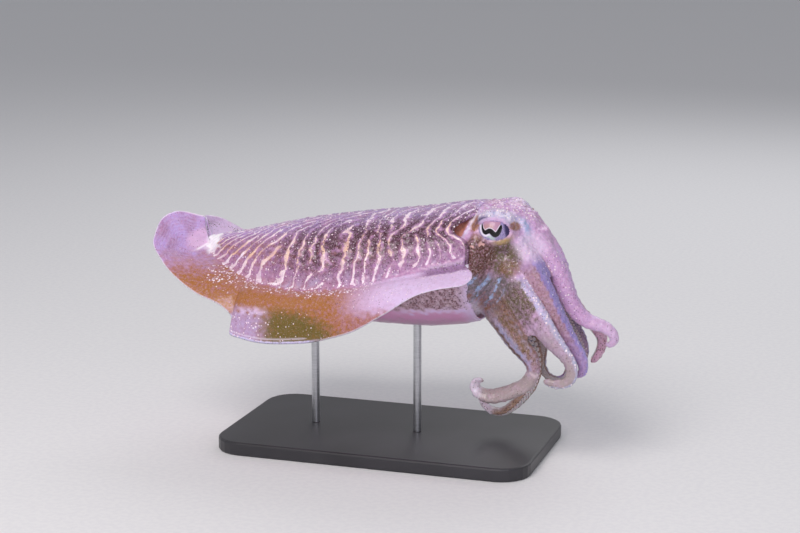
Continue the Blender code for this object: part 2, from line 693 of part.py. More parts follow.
def funnel_form(name, clearance, bore, collection):
    """The funnel's tapering tube, or, with a clearance and no bore, the room it needs in front too."""
    start, end = np.array(FUNNEL_START), np.array(FUNNEL_END)
    length = np.linalg.norm(end - start)
    way = unit(end - start)
    above = np.cross(way, np.array([0.0, 1.0, 0.0]))
    front = 1.0 if bore else 1.2
    deep = 1.0 - FUNNEL_BORE_DEPTH / length if bore else front
    inner = FUNNEL_BORE_SHARE if bore else 0.5
    along = np.array([0.0, 0.0, 0.3, 0.6, 0.85, front, front, deep, deep])
    share = np.array([0.0, 1.0, 1.0, 1.0, 1.0, 0.97, inner, inner * 0.8, 0.0])
    radius = (FUNNEL_START_RADIUS + (FUNNEL_END_RADIUS - FUNNEL_START_RADIUS) * along + clearance) * share

    def place(row, angle):
        points = start + way * (along[row] * length)[:, None]
        points += above * (radius[row] * np.sin(angle))[:, None]
        points[:, 1] += radius[row] * np.cos(angle) * FUNNEL_FLATNESS
        points[row <= 1, 0] = start[0] - clearance
        return points

    return add_object(name, closed_form(14, len(along) - 1, place), "head_skin", collection)


def make_stand(collection):
    """The base plate and its two rods, cut to the slope of the belly."""
    bpy.ops.mesh.primitive_cube_add(size=1.0)
    base = bpy.context.object
    base.name = "stand_base"
    for other in base.users_collection:
        other.objects.unlink(base)
    collection.objects.link(base)
    form = bmesh.new()
    form.from_mesh(base.data)
    for vert in form.verts:
        vert.co = Vector(
            (vert.co.x * BASE_LENGTH, vert.co.y * BASE_WIDTH, (vert.co.z + 0.5) * BASE_THICKNESS)
        ) * MM
    uprights = [e for e in form.edges if abs(e.verts[0].co.z - e.verts[1].co.z) > BASE_THICKNESS * MM / 2]
    bmesh.ops.bevel(form, geom=uprights, offset=BASE_CORNER * MM, segments=6, profile=0.5, affect="EDGES")
    form.to_mesh(base.data)
    form.free()
    base.data.materials.append(material("stand_lacquer"))
    edge = base.modifiers.new("Edge", "BEVEL")
    edge.width = BASE_EDGE * MM
    edge.segments = 2
    edge.limit_method = "ANGLE"
    edge.angle_limit = math.radians(60)
    for name, x in ROD_PLACES.items():
        form = bmesh.new()
        bmesh.ops.create_cone(
            form, cap_ends=True, segments=ROD_SIDES, radius1=ROD_RADIUS, radius2=ROD_RADIUS, depth=2.0
        )
        for vert in form.verts:
            place_x = vert.co.x + x
            if vert.co.z > 0:
                level = float(smooth_through(MANTLE_STATIONS, MANTLE_SIDE_LEVEL, place_x))
                belly = float(smooth_through(MANTLE_STATIONS, MANTLE_BELLY, place_x))
                half = float(smooth_through(MANTLE_STATIONS, MANTLE_HALF_WIDTH, place_x))
                share = (1 - (abs(vert.co.y) / half) ** BELLY_SQUARENESS) ** (1 / BELLY_SQUARENESS)
                height = level - (level - belly) * share - SEAM
            else:
                height = BASE_THICKNESS + SEAM - ANIMAL_Z
            vert.co = Vector((place_x, vert.co.y, height))
        add_object(name, form, "stand_steel", collection)


def make_cuttlefish(with_suckers=True):
    """Clears the scene and builds every piece in one collection."""
    for old in list(bpy.data.objects):
        bpy.data.objects.remove(old)
    collection = bpy.data.collections.new("cuttlefish")
    bpy.context.scene.collection.children.link(collection)
    make_mantle(collection)
    make_fins(collection)
    make_head(collection)
    for side, word in ((-1, "right"), (1, "left")):
        eye_ball(f"eye_{word}", side, (EYE_RADIUS,) * 3, collection)
    funnel_form("funnel", 0.0, True, collection)
    beak_form("beak", 0.0, collection)
    for arm in ARMS:
        make_arm(arm, with_suckers, collection)
    make_stand(collection)


make_cuttlefish()
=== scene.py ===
"""Looks of a common cuttlefish at life size, hovering over a plain display stand.

The animal is laid out in millimetres in its own frame: +X towards the head, +Y to its left, +Z up, with
the origin in the middle of the mantle opening. Each mesh is moved over the stand and turned to metres as
it is made, so every object sits at the origin.
"""

import logging
import math
from collections.abc import Sequence
from dataclasses import dataclass
from enum import Enum

import bpy
import numpy as np
from mathutils import Matrix, Vector

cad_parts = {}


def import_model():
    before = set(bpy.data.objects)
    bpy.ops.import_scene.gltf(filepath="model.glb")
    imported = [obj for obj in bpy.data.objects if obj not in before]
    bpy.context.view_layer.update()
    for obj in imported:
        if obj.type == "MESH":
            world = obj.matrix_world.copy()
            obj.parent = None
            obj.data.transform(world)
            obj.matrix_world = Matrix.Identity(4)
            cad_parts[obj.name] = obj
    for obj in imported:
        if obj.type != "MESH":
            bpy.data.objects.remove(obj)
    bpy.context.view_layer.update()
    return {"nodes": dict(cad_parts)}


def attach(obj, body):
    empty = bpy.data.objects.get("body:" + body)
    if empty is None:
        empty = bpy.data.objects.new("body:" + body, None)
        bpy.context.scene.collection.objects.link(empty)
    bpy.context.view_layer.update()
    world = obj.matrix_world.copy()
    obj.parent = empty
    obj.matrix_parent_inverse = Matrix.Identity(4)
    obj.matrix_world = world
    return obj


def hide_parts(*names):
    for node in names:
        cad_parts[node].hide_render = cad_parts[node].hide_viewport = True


LOG = logging.getLogger("cuttlefish")
MM = 0.001
OVER_STAND = np.array([58.0, 0.0, 142.0])
Array = np.ndarray
Masks = dict[str, np.ndarray]


class Slot(Enum):
    """The record's material slots, one given with each piece."""

    MANTLE = "mantle_skin"
    HEAD = "head_skin"
    ARM = "arm_skin"
    EYE = "eye"
    BEAK = "beak"


class Side(Enum):
    """The animal's two sides, as the sign of Y."""

    RIGHT = -1
    LEFT = 1


# Shapes


def unit(vectors: Array) -> Array:
    """The vectors at length one."""
    return vectors / np.maximum(np.linalg.norm(vectors, axis=-1, keepdims=True), 1e-9)


def rise(value: Array, low: float, high: float) -> Array:
    """Goes smoothly from 0 at low to 1 at high, as 3t^2 - 2t^3."""
    t = np.clip((value - low) / (high - low), 0.0, 1.0)
    return t * t * (3 - 2 * t)


def fall(value: Array, low: float, high: float) -> Array:
    """Goes smoothly from 1 at low to 0 at high."""
    return 1 - rise(value, low, high)


def hump(value: Array, centre: float, width: float) -> Array:
    """A bell of height 1 round a centre."""
    return np.exp(-(((value - centre) / width) ** 2))


def patch(u: Array, v: Array, centre: tuple[float, float], radii: tuple[float, float]) -> Array:
    """A soft oval patch: 1 inside, fading over its rim."""
    off = np.hypot((u - centre[0]) / radii[0], (v - centre[1]) / radii[1])
    return fall(off, 0.6, 1.3)


def turns(count: int) -> Array:
    """Even angles round a full turn, from 0."""
    return np.linspace(0, 2 * math.pi, count, endpoint=False)


def mottle(points: Array, size: float, seed: int, waves: int = 22) -> Array:
    """Soft random relief in space: the sum of plane waves with random ways, phases and lengths near size.

    Args:
        points: places in millimetres, shape (n, 3).
        size: usual distance from one lump to the next, in millimetres.
        seed: start of the random numbers.
        waves: how many waves are added.

    Returns:
        One value a point, mostly between -1 and 1.
    """
    random = np.random.default_rng(seed)
    ways = unit(random.normal(size=(waves, 3))) / (size * random.uniform(0.7, 1.5, waves))[:, None]
    phase = points @ ways.T * 2 * math.pi + random.uniform(0, 2 * math.pi, waves)
    return np.cos(phase).sum(axis=-1) * math.sqrt(2 / waves) * 0.6


def smooth_through(stations: Sequence[float], values: Sequence[float], at: Array) -> Array:
    """A curve through the values that never swings past them: cubic pieces with harmonic mean slopes.

    Args:
        stations: where the values stand, rising or falling.
        values: the values.
        at: where the curve is wanted, of any shape.

    Returns:
        The curve's values, of the shape of at.
    """
    x, y, at = np.asarray(stations, float), np.asarray(values, float), np.asarray(at, float)
    if x[0] > x[-1]:
        x, y = x[::-1], y[::-1]
    step = np.diff(x)
    slope_of_piece = np.diff(y) / step
    slope = np.zeros(len(x))
    same_way = slope_of_piece[1:] * slope_of_piece[:-1] > 0
    both = np.where(same_way, slope_of_piece[1:] + slope_of_piece[:-1], 1.0)
    slope[1:-1] = np.where(same_way, 2 * slope_of_piece[1:] * slope_of_piece[:-1] / both, 0.0)
    slope[0], slope[-1] = slope_of_piece[0], slope_of_piece[-1]
    piece = np.clip(np.searchsorted(x, at) - 1, 0, len(step) - 1)
    t = np.clip((at - x[piece]) / step[piece], 0.0, 1.0)
    start, end = slope[piece] * step[piece], slope[piece + 1] * step[piece]
    return (
        y[piece] * (1 + 2 * t) * (1 - t) ** 2
        + start * t * (1 - t) ** 2
        + y[piece + 1] * t**2 * (3 - 2 * t)
        + end * t**2 * (t - 1)
    )


@dataclass
class Shell:
    """A closed surface in millimetres: its points, its faces by number of corners, and its masks."""

    points: Array
    faces: list[Array]
    masks: Masks

    def turned_out(self) -> "Shell":
        """Turns the faces round if the signed volume is below zero.

        Returns:
            The same shell, with its faces outwards.
        """
        volume = 0.0
        for faces in self.faces:
            first = self.points[faces[:, 0]]
            for k in range(1, faces.shape[1] - 1):
                second, third = self.points[faces[:, k]], self.points[faces[:, k + 1]]
                volume += float(np.einsum("ij,ij->i", first, np.cross(second, third)).sum())
        if volume < 0:
            self.faces = [faces[:, ::-1] for faces in self.faces]
        return self

    def mesh(self, name: str) -> bpy.types.Mesh:
        """Makes a smooth mesh, in metres over the stand, with the masks as attributes.

        Args:
            name: the mesh's name.

        Returns:
            The mesh.
        """
        made = bpy.data.meshes.new(name)
        corners = np.concatenate([faces.ravel() for faces in self.faces]).astype(np.int32)
        sizes = np.concatenate([np.full(len(faces), faces.shape[1]) for faces in self.faces])
        made.vertices.add(len(self.points))
        made.vertices.foreach_set("co", ((self.points + OVER_STAND) * MM).astype(np.float32).ravel())
        made.loops.add(len(corners))
        made.loops.foreach_set("vertex_index", corners)
        made.polygons.add(len(sizes))
        starts = np.concatenate([[0], np.cumsum(sizes)[:-1]]).astype(np.int32)
        made.polygons.foreach_set("loop_start", starts)
        made.update(calc_edges=True)
        for key, values in self.masks.items():
            layer = made.attributes.new(key, "FLOAT", "POINT")
            layer.data.foreach_set("value", values.astype(np.float32))
        made.shade_smooth()
        return made

    def normals(self) -> Array:
        """Each point's outward direction: the sum of its faces' area vectors, at length one.

        Returns:
            Vectors of shape (n, 3).
        """
        total = np.zeros_like(self.points)
        for faces in self.faces:
            ring = [self.points[faces[:, k]] for k in range(faces.shape[1])]
            area = np.cross(ring[2] - ring[0], ring[-1] - ring[1])
            for k in range(faces.shape[1]):
                for axis in range(3):
                    total[:, axis] += np.bincount(
                        faces[:, k], weights=area[:, axis], minlength=len(self.points)
                    )
        return unit(total)

    def raised(self, heights: Array) -> "Shell":
        """The shell with each point moved out along its normal by its height in millimetres."""
        self.points = self.points + self.normals() * heights[:, None]
        return self

    def relaxed(self, amount: Array, times: int) -> "Shell":
        """Moves each point towards the mean of its neighbours, again and again.

        Args:
            amount: share of the way that each point goes, 0 to 1.
            times: how many times.

        Returns:
            The same shell.
        """
        ends = np.concatenate(
            [np.stack([f, np.roll(f, -1, axis=1)], axis=-1).reshape(-1, 2) for f in self.faces]
        )
        ends = np.concatenate([ends, ends[:, ::-1]])
        count = np.bincount(ends[:, 0], minlength=len(self.points))
        for _ in range(times):
            mean = np.stack(
                [
                    np.bincount(ends[:, 0], weights=self.points[ends[:, 1], axis], minlength=len(count))
                    for axis in range(3)
                ],
                axis=1,
            )
            self.points += (mean / count[:, None] - self.points) * amount[:, None]
        return self


def ring_faces(rings: int, columns: int) -> list[Array]:
    """Faces of stacked rings with a pole at each end: the points are pole, rings in order, pole.

    Args:
        rings: how many rings.
        columns: how many points each ring has.

    Returns:
        The faces of four corners and those of three, as point numbers.
    """
    here = np.arange(columns)
    after = (here + 1) % columns
    start = 1 + np.arange(rings - 1)[:, None] * columns
    quads = np.stack(
        [start + here, start + after, start + columns + after, start + columns + here], axis=-1
    ).reshape(-1, 4)
    top = 1 + (rings - 1) * columns
    first = np.stack([np.zeros(columns, int), 1 + after, 1 + here], axis=-1)
    last = np.stack([np.full(columns, 1 + rings * columns), top + here, top + after], axis=-1)
    return [quads, np.concatenate([first, last])]


def stacked(rings: Array, masks: Masks) -> Shell:
    """A closed shell from stacked rings, each end closed by a pole in the middle of its ring.

    Args:
        rings: points of shape (rings, columns, 3).
        masks: for each mask its values, of shape (rings, columns).

    Returns:
        The shell, faces outwards.
    """
    points = np.concatenate(
        [rings[0].mean(axis=0)[None], rings.reshape(-1, 3), rings[-1].mean(axis=0)[None]]
    )
    flat = {
        key: np.concatenate([[values[0].mean()], values.ravel(), [values[-1].mean()]])
        for key, values in masks.items()
    }
    return Shell(points, ring_faces(rings.shape[0], rings.shape[1]), flat).turned_out()


def hoop(rings: Array) -> Shell:
    """A closed shell like a torus, from rings of points that close in both directions.

    Args:
        rings: points of shape (rings, columns, 3).

    Returns:
        The shell, faces outwards and with no masks.
    """
    rows, columns = rings.shape[:2]
    row, column = np.meshgrid(np.arange(rows), np.arange(columns), indexing="ij")
    below, right = (row + 1) % rows, (column + 1) % columns
    quads = np.stack(
        [row * columns + column, row * columns + right, below * columns + right, below * columns + column],
        axis=-1,
    ).reshape(-1, 4)
    return Shell(rings.reshape(-1, 3), [quads], {}).turned_out()


def gathered(shells: Sequence[Shell]) -> Shell:
    """Several shells as one, side by side.

    Args:
        shells: the shells; each has the masks that the first has.

    Returns:
        One shell with all their points and faces.
    """
    start = np.cumsum([0] + [len(shell.points) for shell in shells])
    faces: dict[int, list[Array]] = {}
    for shell, first in zip(shells, start):
        for part in shell.faces:
            faces.setdefault(part.shape[1], []).append(part + first)
    masks = {
        key: np.concatenate([shell.masks[key] for shell in shells]) for key in shells[0].masks
    }
    points = np.concatenate([shell.points for shell in shells])
    return Shell(points, [np.concatenate(parts) for parts in faces.values()], masks)


def show(name: str, mesh: bpy.types.Mesh, finish: bpy.types.Material, slot: Slot, *nodes: str) -> None:
    """Puts a mesh in the scene as a piece that stands for CAD nodes.

    Args:
        name: the piece's name.
        mesh: its mesh, in place.
        finish: its material.
        slot: the record's material slot that it takes its finish from; not used.
        nodes: the CAD nodes that it replaces.
    """
    mesh.name = name
    mesh.materials.clear()
    mesh.materials.append(finish)
    piece = bpy.data.objects.new(name, mesh)
    bpy.context.scene.collection.objects.link(piece)
    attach(piece, "root")
    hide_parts(*nodes)
    LOG.info("%s: %d vertices, stands for %d nodes", name, len(mesh.vertices), len(nodes))


# Finishes


def linear(code: str) -> tuple[float, float, float, float]:
    """An sRGB hex colour as linear light."""
    parts = [int(code[k : k + 2], 16) / 255 for k in (0, 2, 4)]
    return (*(p / 12.92 if p <= 0.04045 else ((p + 0.055) / 1.055) ** 2.4 for p in parts), 1.0)


def connect(node: bpy.types.Node, links: dict) -> None:
    """Links or sets a node's inputs.

    Args:
        node: the node.
        links: for each input, by name or number, a socket to link or a value to set.
    """
    for key, value in links.items():
        if isinstance(value, bpy.types.NodeSocket):
            node.id_data.links.new(value, node.inputs[key])
        else:
            node.inputs[key].default_value = value


def add(
    tree: bpy.types.NodeTree, kind: str, links: dict, give: int | str = 0, **settings: object
) -> bpy.types.NodeSocket:
    """Adds a shader node.

    Args:
        tree: the node tree.
        kind: the node's type.
        links: for each input, by name or number, a socket to link or a value to set.
        give: which output is wanted, by name or number.
        settings: the node's properties; stops gives a colour ramp's two places and hex colours.

    Returns:
        That output of the new node.
    """
    made = tree.nodes.new(kind)
    for stop, (place, code) in enumerate(settings.pop("stops", ())):
        made.color_ramp.elements[stop].position = place
        made.color_ramp.elements[stop].color = linear(code)
    for key, value in settings.items():
        setattr(made, key, value)
    connect(made, links)
    return made.outputs[give]


def blank(name: str) -> tuple[bpy.types.Material, bpy.types.NodeTree, bpy.types.Node, bpy.types.NodeSocket]:
    """A new material to build on.

    Args:
        name: its name.

    Returns:
        The material, its tree, its Principled shader and its Object coordinates in metres.
    """
    made = bpy.data.materials.new(name)
    made.use_nodes = True
    tree = made.node_tree
    place = add(tree, "ShaderNodeTexCoord", {}, "Object")
    return made, tree, tree.nodes["Principled BSDF"], place


@dataclass(frozen=True)
class Wash:
    """One colour laid over the skin where a mask says so, with a ragged edge.

    The mask counts from low to high, and ragged is how far noise of that grain in millimetres sways it.
    """

    mask: str
    colour: str
    ragged: float
    grain: float
    low: float = 0.0
    high: float = 1.0


@dataclass(frozen=True)
class LivingSkin:
    """Wet, living skin: soft light in its depth, a thin film of water over it, and pigment sacs about a
    millimetre across that open and close, which gives blotches, fine brown specks and white points."""

    name: str
    base: str
    shade: str
    washes: tuple[Wash, ...]
    stripe: str = "fcebfa"
    warm_stripe: str = "edc3a8"
    speck: str = "431b2f"
    speck_size: float = 1.3
    # The white dots' colour, which also colours the painted glints of highlight
    dot: str = "fbe6e6"
    dot_size: float = 2.0
    white: str = "fcf8ff"
    roughness: float = 0.33
    bump: float = 0.6

    def make(self) -> bpy.types.Material:
        """Builds the material: washes over a cloudy base, then stripes, specks, painted glints of highlight
        and dots.

        Returns:
            The new material.
        """
        made, tree, shader, place = blank(self.name)

        def mask(name: str) -> bpy.types.NodeSocket:
            """The value painted on the surface under that name."""
            return add(tree, "ShaderNodeAttribute", {}, "Fac", attribute_name=name)

        def noise(size: float, detail: float = 3.0) -> bpy.types.NodeSocket:
            """Cloudy noise whose lumps are about size millimetres."""
            links = {"Vector": place, "Scale": 1 / (size * MM), "Detail": detail, "Roughness": 0.6}
            return add(tree, "ShaderNodeTexNoise", links, "Fac")

        def over(share: bpy.types.NodeSocket, under: object, code: str) -> bpy.types.NodeSocket:
            """A colour over what is there, by that share."""
            links = {0: share, 6: under, 7: linear(code)}
            return add(tree, "ShaderNodeMix", links, 2, data_type="RGBA")

        def points(size: float, least: float, soft: float, name: str) -> bpy.types.NodeSocket:
            """Round spots, one to a cell of scattered points, some larger, some missing.

            Args:
                size: usual distance between spots in millimetres.
                least: radius of the smallest spots, in cells.
                soft: width of their soft edge, in cells.
                name: the mask that says how many cells have one.

            Returns:
                1 on a spot, 0 off it.
            """
            links = {"Vector": place, "Scale": 1 / (size * MM), "Randomness": 1.0}
            away = add(tree, "ShaderNodeTexVoronoi", links, "Distance")
            chance = add(tree, "ShaderNodeSeparateColor", {0: away.node.outputs["Color"]})
            there = add(tree, "ShaderNodeMath", {0: mask(name), 1: chance}, operation="SUBTRACT")
            reach = add(tree, "ShaderNodeMath", {0: there, 1: 0.3, 2: least}, operation="MULTIPLY_ADD")
            gap = add(tree, "ShaderNodeMath", {0: reach, 1: away}, operation="SUBTRACT")
            links = {"Value": gap, "From Min": 0.0, "From Max": soft}
            share = add(tree, "ShaderNodeMapRange", links, interpolation_type="SMOOTHSTEP")
            kept = add(tree, "ShaderNodeMath", {0: there, 1: 0.0}, operation="GREATER_THAN")
            return add(tree, "ShaderNodeMath", {0: share, 1: kept}, operation="MULTIPLY")

        links = {"Value": noise(2.0), "From Min": 0.36, "From Max": 0.64}
        colour = over(add(tree, "ShaderNodeMapRange", links), linear(self.base), self.shade)
        for wash in self.washes:
            links = {0: noise(wash.grain), 1: 2 * wash.ragged, 2: 1 - wash.ragged}
            patchy = add(tree, "ShaderNodeMath", links, operation="MULTIPLY_ADD")
            links = {"Value": mask(wash.mask), "From Min": wash.low, "From Max": wash.high}
            links = {0: add(tree, "ShaderNodeMapRange", links), 1: patchy}
            share = add(tree, "ShaderNodeMath", links, operation="MULTIPLY", use_clamp=True)
            colour = over(share, colour, wash.colour)
        links = {0: noise(1.6), 1: 0.6, 2: mask("stripe")}
        wander = add(tree, "ShaderNodeMath", links, operation="MULTIPLY_ADD")
        links = {"Value": wander, "From Min": 0.95, "From Max": 1.12}
        line = add(tree, "ShaderNodeMapRange", links, interpolation_type="SMOOTHSTEP")
        links = {"Value": noise(5.0), "From Min": 0.34, "From Max": 0.58, "To Min": 0.5}
        links = {0: line, 1: add(tree, "ShaderNodeMapRange", links)}
        line = add(tree, "ShaderNodeMath", links, operation="MULTIPLY")
        links = {0: line, 6: colour, 7: over(mask("warm"), linear(self.stripe), self.warm_stripe)}
        colour = add(tree, "ShaderNodeMix", links, 2, data_type="RGBA")
        colour = over(points(self.speck_size, 0.2, 0.16, "speck"), colour, self.speck)
        # Painted glints: fine points of painted highlight in the dot colour, scattered where the speck mask
        # is
        links = {"Value": noise(0.8, 2.0), "From Min": 0.57, "From Max": 0.68, "To Max": 0.5}
        links = {0: add(tree, "ShaderNodeMapRange", links), 1: mask("speck")}
        colour = over(add(tree, "ShaderNodeMath", links, operation="MULTIPLY"), colour, self.dot)
        dots = points(self.dot_size, 0.22, 0.12, "dot")
        colour = over(mask("white"), over(dots, colour, self.dot), self.white)

        links = {0: noise(1.1, 4.0), 1: 1.0, 2: dots}
        fine = add(tree, "ShaderNodeMath", links, operation="MULTIPLY_ADD")
        relief = add(tree, "ShaderNodeBump", {"Strength": self.bump, "Distance": 0.5 * MM, "Height": fine})
        low, high = self.roughness - 0.08, self.roughness + 0.12
        gloss = add(tree, "ShaderNodeMapRange", {"Value": noise(2.4), "To Min": low, "To Max": high})
        look = {
            "Base Color": colour, "Normal": relief, "Roughness": gloss, "IOR": 1.38,
            "Subsurface Weight": 0.16, "Subsurface Radius": (1.0, 0.45, 0.5), "Subsurface Scale": 3 * MM,
            "Coat Weight": 0.45, "Coat Roughness": 0.16,
        }
        connect(shader, look)
        return made


@dataclass(frozen=True)
class WetEye:
    """The eye under its clear cornea: a very smooth wet film over an iris of fine silvery threads."""

    name: str = "wet_eye"
    base: str = "7a6a9e"
    thread: str = "b3a6d0"
    tan: str = "b58a92"
    indigo: str = "2c2350"
    pale: str = "e9e2f2"
    green: str = "aebfc0"
    fold: str = "b68ba6"
    pupil: str = "030206"

    def make(self) -> bpy.types.Material:
        """Builds the material.

        Returns:
            The new material.
        """
        made, tree, shader, place = blank(self.name)
        links = {"Vector": place, "Scale": 1 / (0.7 * MM), "Detail": 4.0}
        threads = add(tree, "ShaderNodeTexNoise", links, "Fac")
        spread = add(tree, "ShaderNodeMapRange", {"Value": threads, "From Min": 0.35, "From Max": 0.65})
        links = {0: spread, 6: linear(self.base), 7: linear(self.thread)}
        colour = add(tree, "ShaderNodeMix", links, 2, data_type="RGBA")
        for name in ("indigo", "green", "fold", "tan", "pale", "pupil"):
            mask = add(tree, "ShaderNodeAttribute", {}, "Fac", attribute_name=name)
            links = {0: mask, 6: colour, 7: linear(getattr(self, name))}
            colour = add(tree, "ShaderNodeMix", links, 2, data_type="RGBA")
        relief = add(tree, "ShaderNodeBump", {"Strength": 0.12, "Distance": 0.2 * MM, "Height": threads})
        wet = {"Roughness": 0.3, "IOR": 1.38, "Coat Weight": 0.3, "Coat Roughness": 0.06}
        connect(shader, {"Base Color": colour, "Normal": relief, **wet})
        return made


@dataclass(frozen=True)
class Horn:
    """The beak's dark horn, grown in layers: glossy, brown to black, with fine growth lines."""

    name: str = "beak_horn"
    dark: str = "1a0d08"
    light: str = "4a2a18"

    def make(self) -> bpy.types.Material:
        """Builds the material.

        Returns:
            The new material.
        """
        made, tree, shader, place = blank(self.name)
        links = {"Vector": place, "Scale": 1 / (1.5 * MM), "Distortion": 2.0, "Detail": 2.0}
        bands = add(tree, "ShaderNodeTexWave", links, "Fac")
        stops = ((0.0, self.dark), (1.0, self.light))
        colour = add(tree, "ShaderNodeValToRGB", {0: bands}, stops=stops)
        connect(shader, {"Base Color": colour, "Roughness": 0.25, "IOR": 1.55})
        return made


@dataclass(frozen=True)
class BrushedSteel:
    """Stainless steel bar, drawn and brushed round: its fine scratches stretch the highlight."""

    name: str = "brushed_steel"
    light: str = "c6c7cb"
    dark: str = "b4b6ba"

    def make(self) -> bpy.types.Material:
        """Builds the material.

        Returns:
            The new material.
        """
        made, tree, shader, place = blank(self.name)
        # Brush marks are finer than a pixel, so they are drawn at 0.6 mm, ten times as long round the bar.
        stretch = add(tree, "ShaderNodeMapping", {"Vector": place, "Scale": (0.1, 0.1, 1.0)})
        links = {"Vector": stretch, "Scale": 1 / (0.6 * MM), "Detail": 2.0}
        marks = add(tree, "ShaderNodeTexNoise", links, "Fac")
        stops = ((0.3, self.dark), (0.7, self.light))
        colour = add(tree, "ShaderNodeValToRGB", {0: marks}, stops=stops)
        rough = add(tree, "ShaderNodeMapRange", {"Value": marks, "To Min": 0.27, "To Max": 0.35})
        connect(shader, {"Base Color": colour, "Roughness": rough, "Metallic": 1.0})
        return made


@dataclass(frozen=True)
class SatinLacquer:
    """Steel plate sprayed with satin lacquer: an even dark coat with a faint orange-peel ripple."""

    name: str = "satin_lacquer"
    colour: str = "2b2a2e"
    worn: str = "38373c"

    def make(self) -> bpy.types.Material:
        """Builds the material.

        Returns:
            The new material.
        """
        made, tree, shader, place = blank(self.name)
        links = {"Vector": place, "Scale": 1 / (2.5 * MM), "Detail": 2.0}
        ripple = add(tree, "ShaderNodeTexNoise", links, "Fac")
        links = {"Vector": place, "Scale": 1 / (60 * MM), "Detail": 3.0}
        haze = add(tree, "ShaderNodeTexNoise", links, "Fac")
        stops = ((0.35, self.colour), (0.7, self.worn))
        colour = add(tree, "ShaderNodeValToRGB", {0: haze}, stops=stops)
        relief = add(tree, "ShaderNodeBump", {"Strength": 0.08, "Distance": 0.1 * MM, "Height": ripple})
        connect(shader, {"Base Color": colour, "Normal": relief, "Roughness": 0.38})
        return made


@dataclass(frozen=True)
class FloorPaper:
    """Matt studio paper, pale and even, with a faint grain."""

    name: str = "floor_paper"
    light: str = "e5e5e7"
    dark: str = "e1e1e4"

    def make(self) -> bpy.types.Material:
        """Builds the material.

        Returns:
            The new material.
        """
        made, tree, shader, place = blank(self.name)
        links = {"Vector": place, "Scale": 1 / (4 * MM), "Detail": 2.0}
        grain = add(tree, "ShaderNodeTexNoise", links, "Fac")
        stops = ((0.4, self.light), (0.6, self.dark))
        colour = add(tree, "ShaderNodeValToRGB", {0: grain}, stops=stops)
        connect(shader, {"Base Color": colour, "Roughness": 0.85})
        return made


# Mantle and fins


@dataclass(frozen=True)
class StripeField:
    """Labyrinth stripes, as pigment patterns in living skin form them: each place drives its near
    neighbours the same way and those half a wavelength off the other way, until the stripes settle.

    The change of the field u is (drive - (1 - k^2)^2 - straightness * k_across^2) u + bend u^2 - u^3,
    where k is the wave number over the stripes' own. It is stepped with Fourier transforms. What is kept
    is the cosine of the stripes' phase: the field over its length with its two Riesz transforms.
    """

    wavelength: float = 9.5
    length: int = 384
    breadth: int = 256
    drive: float = 0.45
    straightness: float = 0.06
    bend: float = 0.35
    steps: int = 110
    seed: int = 11

    def grown(self) -> Array:
        """Grows the stripes on a grid of 1 mm that repeats in both directions.

        Returns:
            The phase's cosine, 1 on the stripes' crests and -1 between them.
        """
        random = np.random.default_rng(self.seed)
        field = random.normal(0, 0.2, (self.length, self.breadth))
        along = np.fft.fftfreq(self.length)[:, None] * self.wavelength
        across = np.fft.fftfreq(self.breadth)[None, :] * self.wavelength
        growth = self.drive - (1 - along**2 - across**2) ** 2 - self.straightness * across**2
        damping = 1 / (1 - 0.6 * growth)
        for _ in range(self.steps):
            change = self.bend * field**2 - field**3
            field = np.fft.ifft2(np.fft.fft2(field + 0.6 * change) * damping).real
        reach = np.maximum(np.hypot(along, across), 1e-9)
        wave = np.fft.fft2(field) * hump(reach, 1.0, 0.4)
        field = np.fft.ifft2(wave).real
        beside = [np.fft.ifft2(-1j * part / reach * wave).real for part in (along, across)]
        size = np.sqrt(field**2 + beside[0] ** 2 + beside[1] ** 2)
        return field / (size + 0.1 * size.mean())

    def sampled(self, field: Array, along: Array, across: Array) -> Array:
        """The field at places in millimetres, by weighting the four grid points round each.

        Args:
            field: the grown stripes.
            along: places along the body.
            across: places round the body, of the same shape.

        Returns:
            The field's values, of the shape of along.
        """
        row, column = np.floor(along).astype(int), np.floor(across).astype(int)
        s, t = along - row, across - column
        total = np.zeros_like(along)
        for down, weight_down in ((0, 1 - s), (1, s)):
            for right, weight_right in ((0, 1 - t), (1, t)):
                here = field[(row + down) % self.length, (column + right) % self.breadth]
                total += here * weight_down * weight_right
        return total


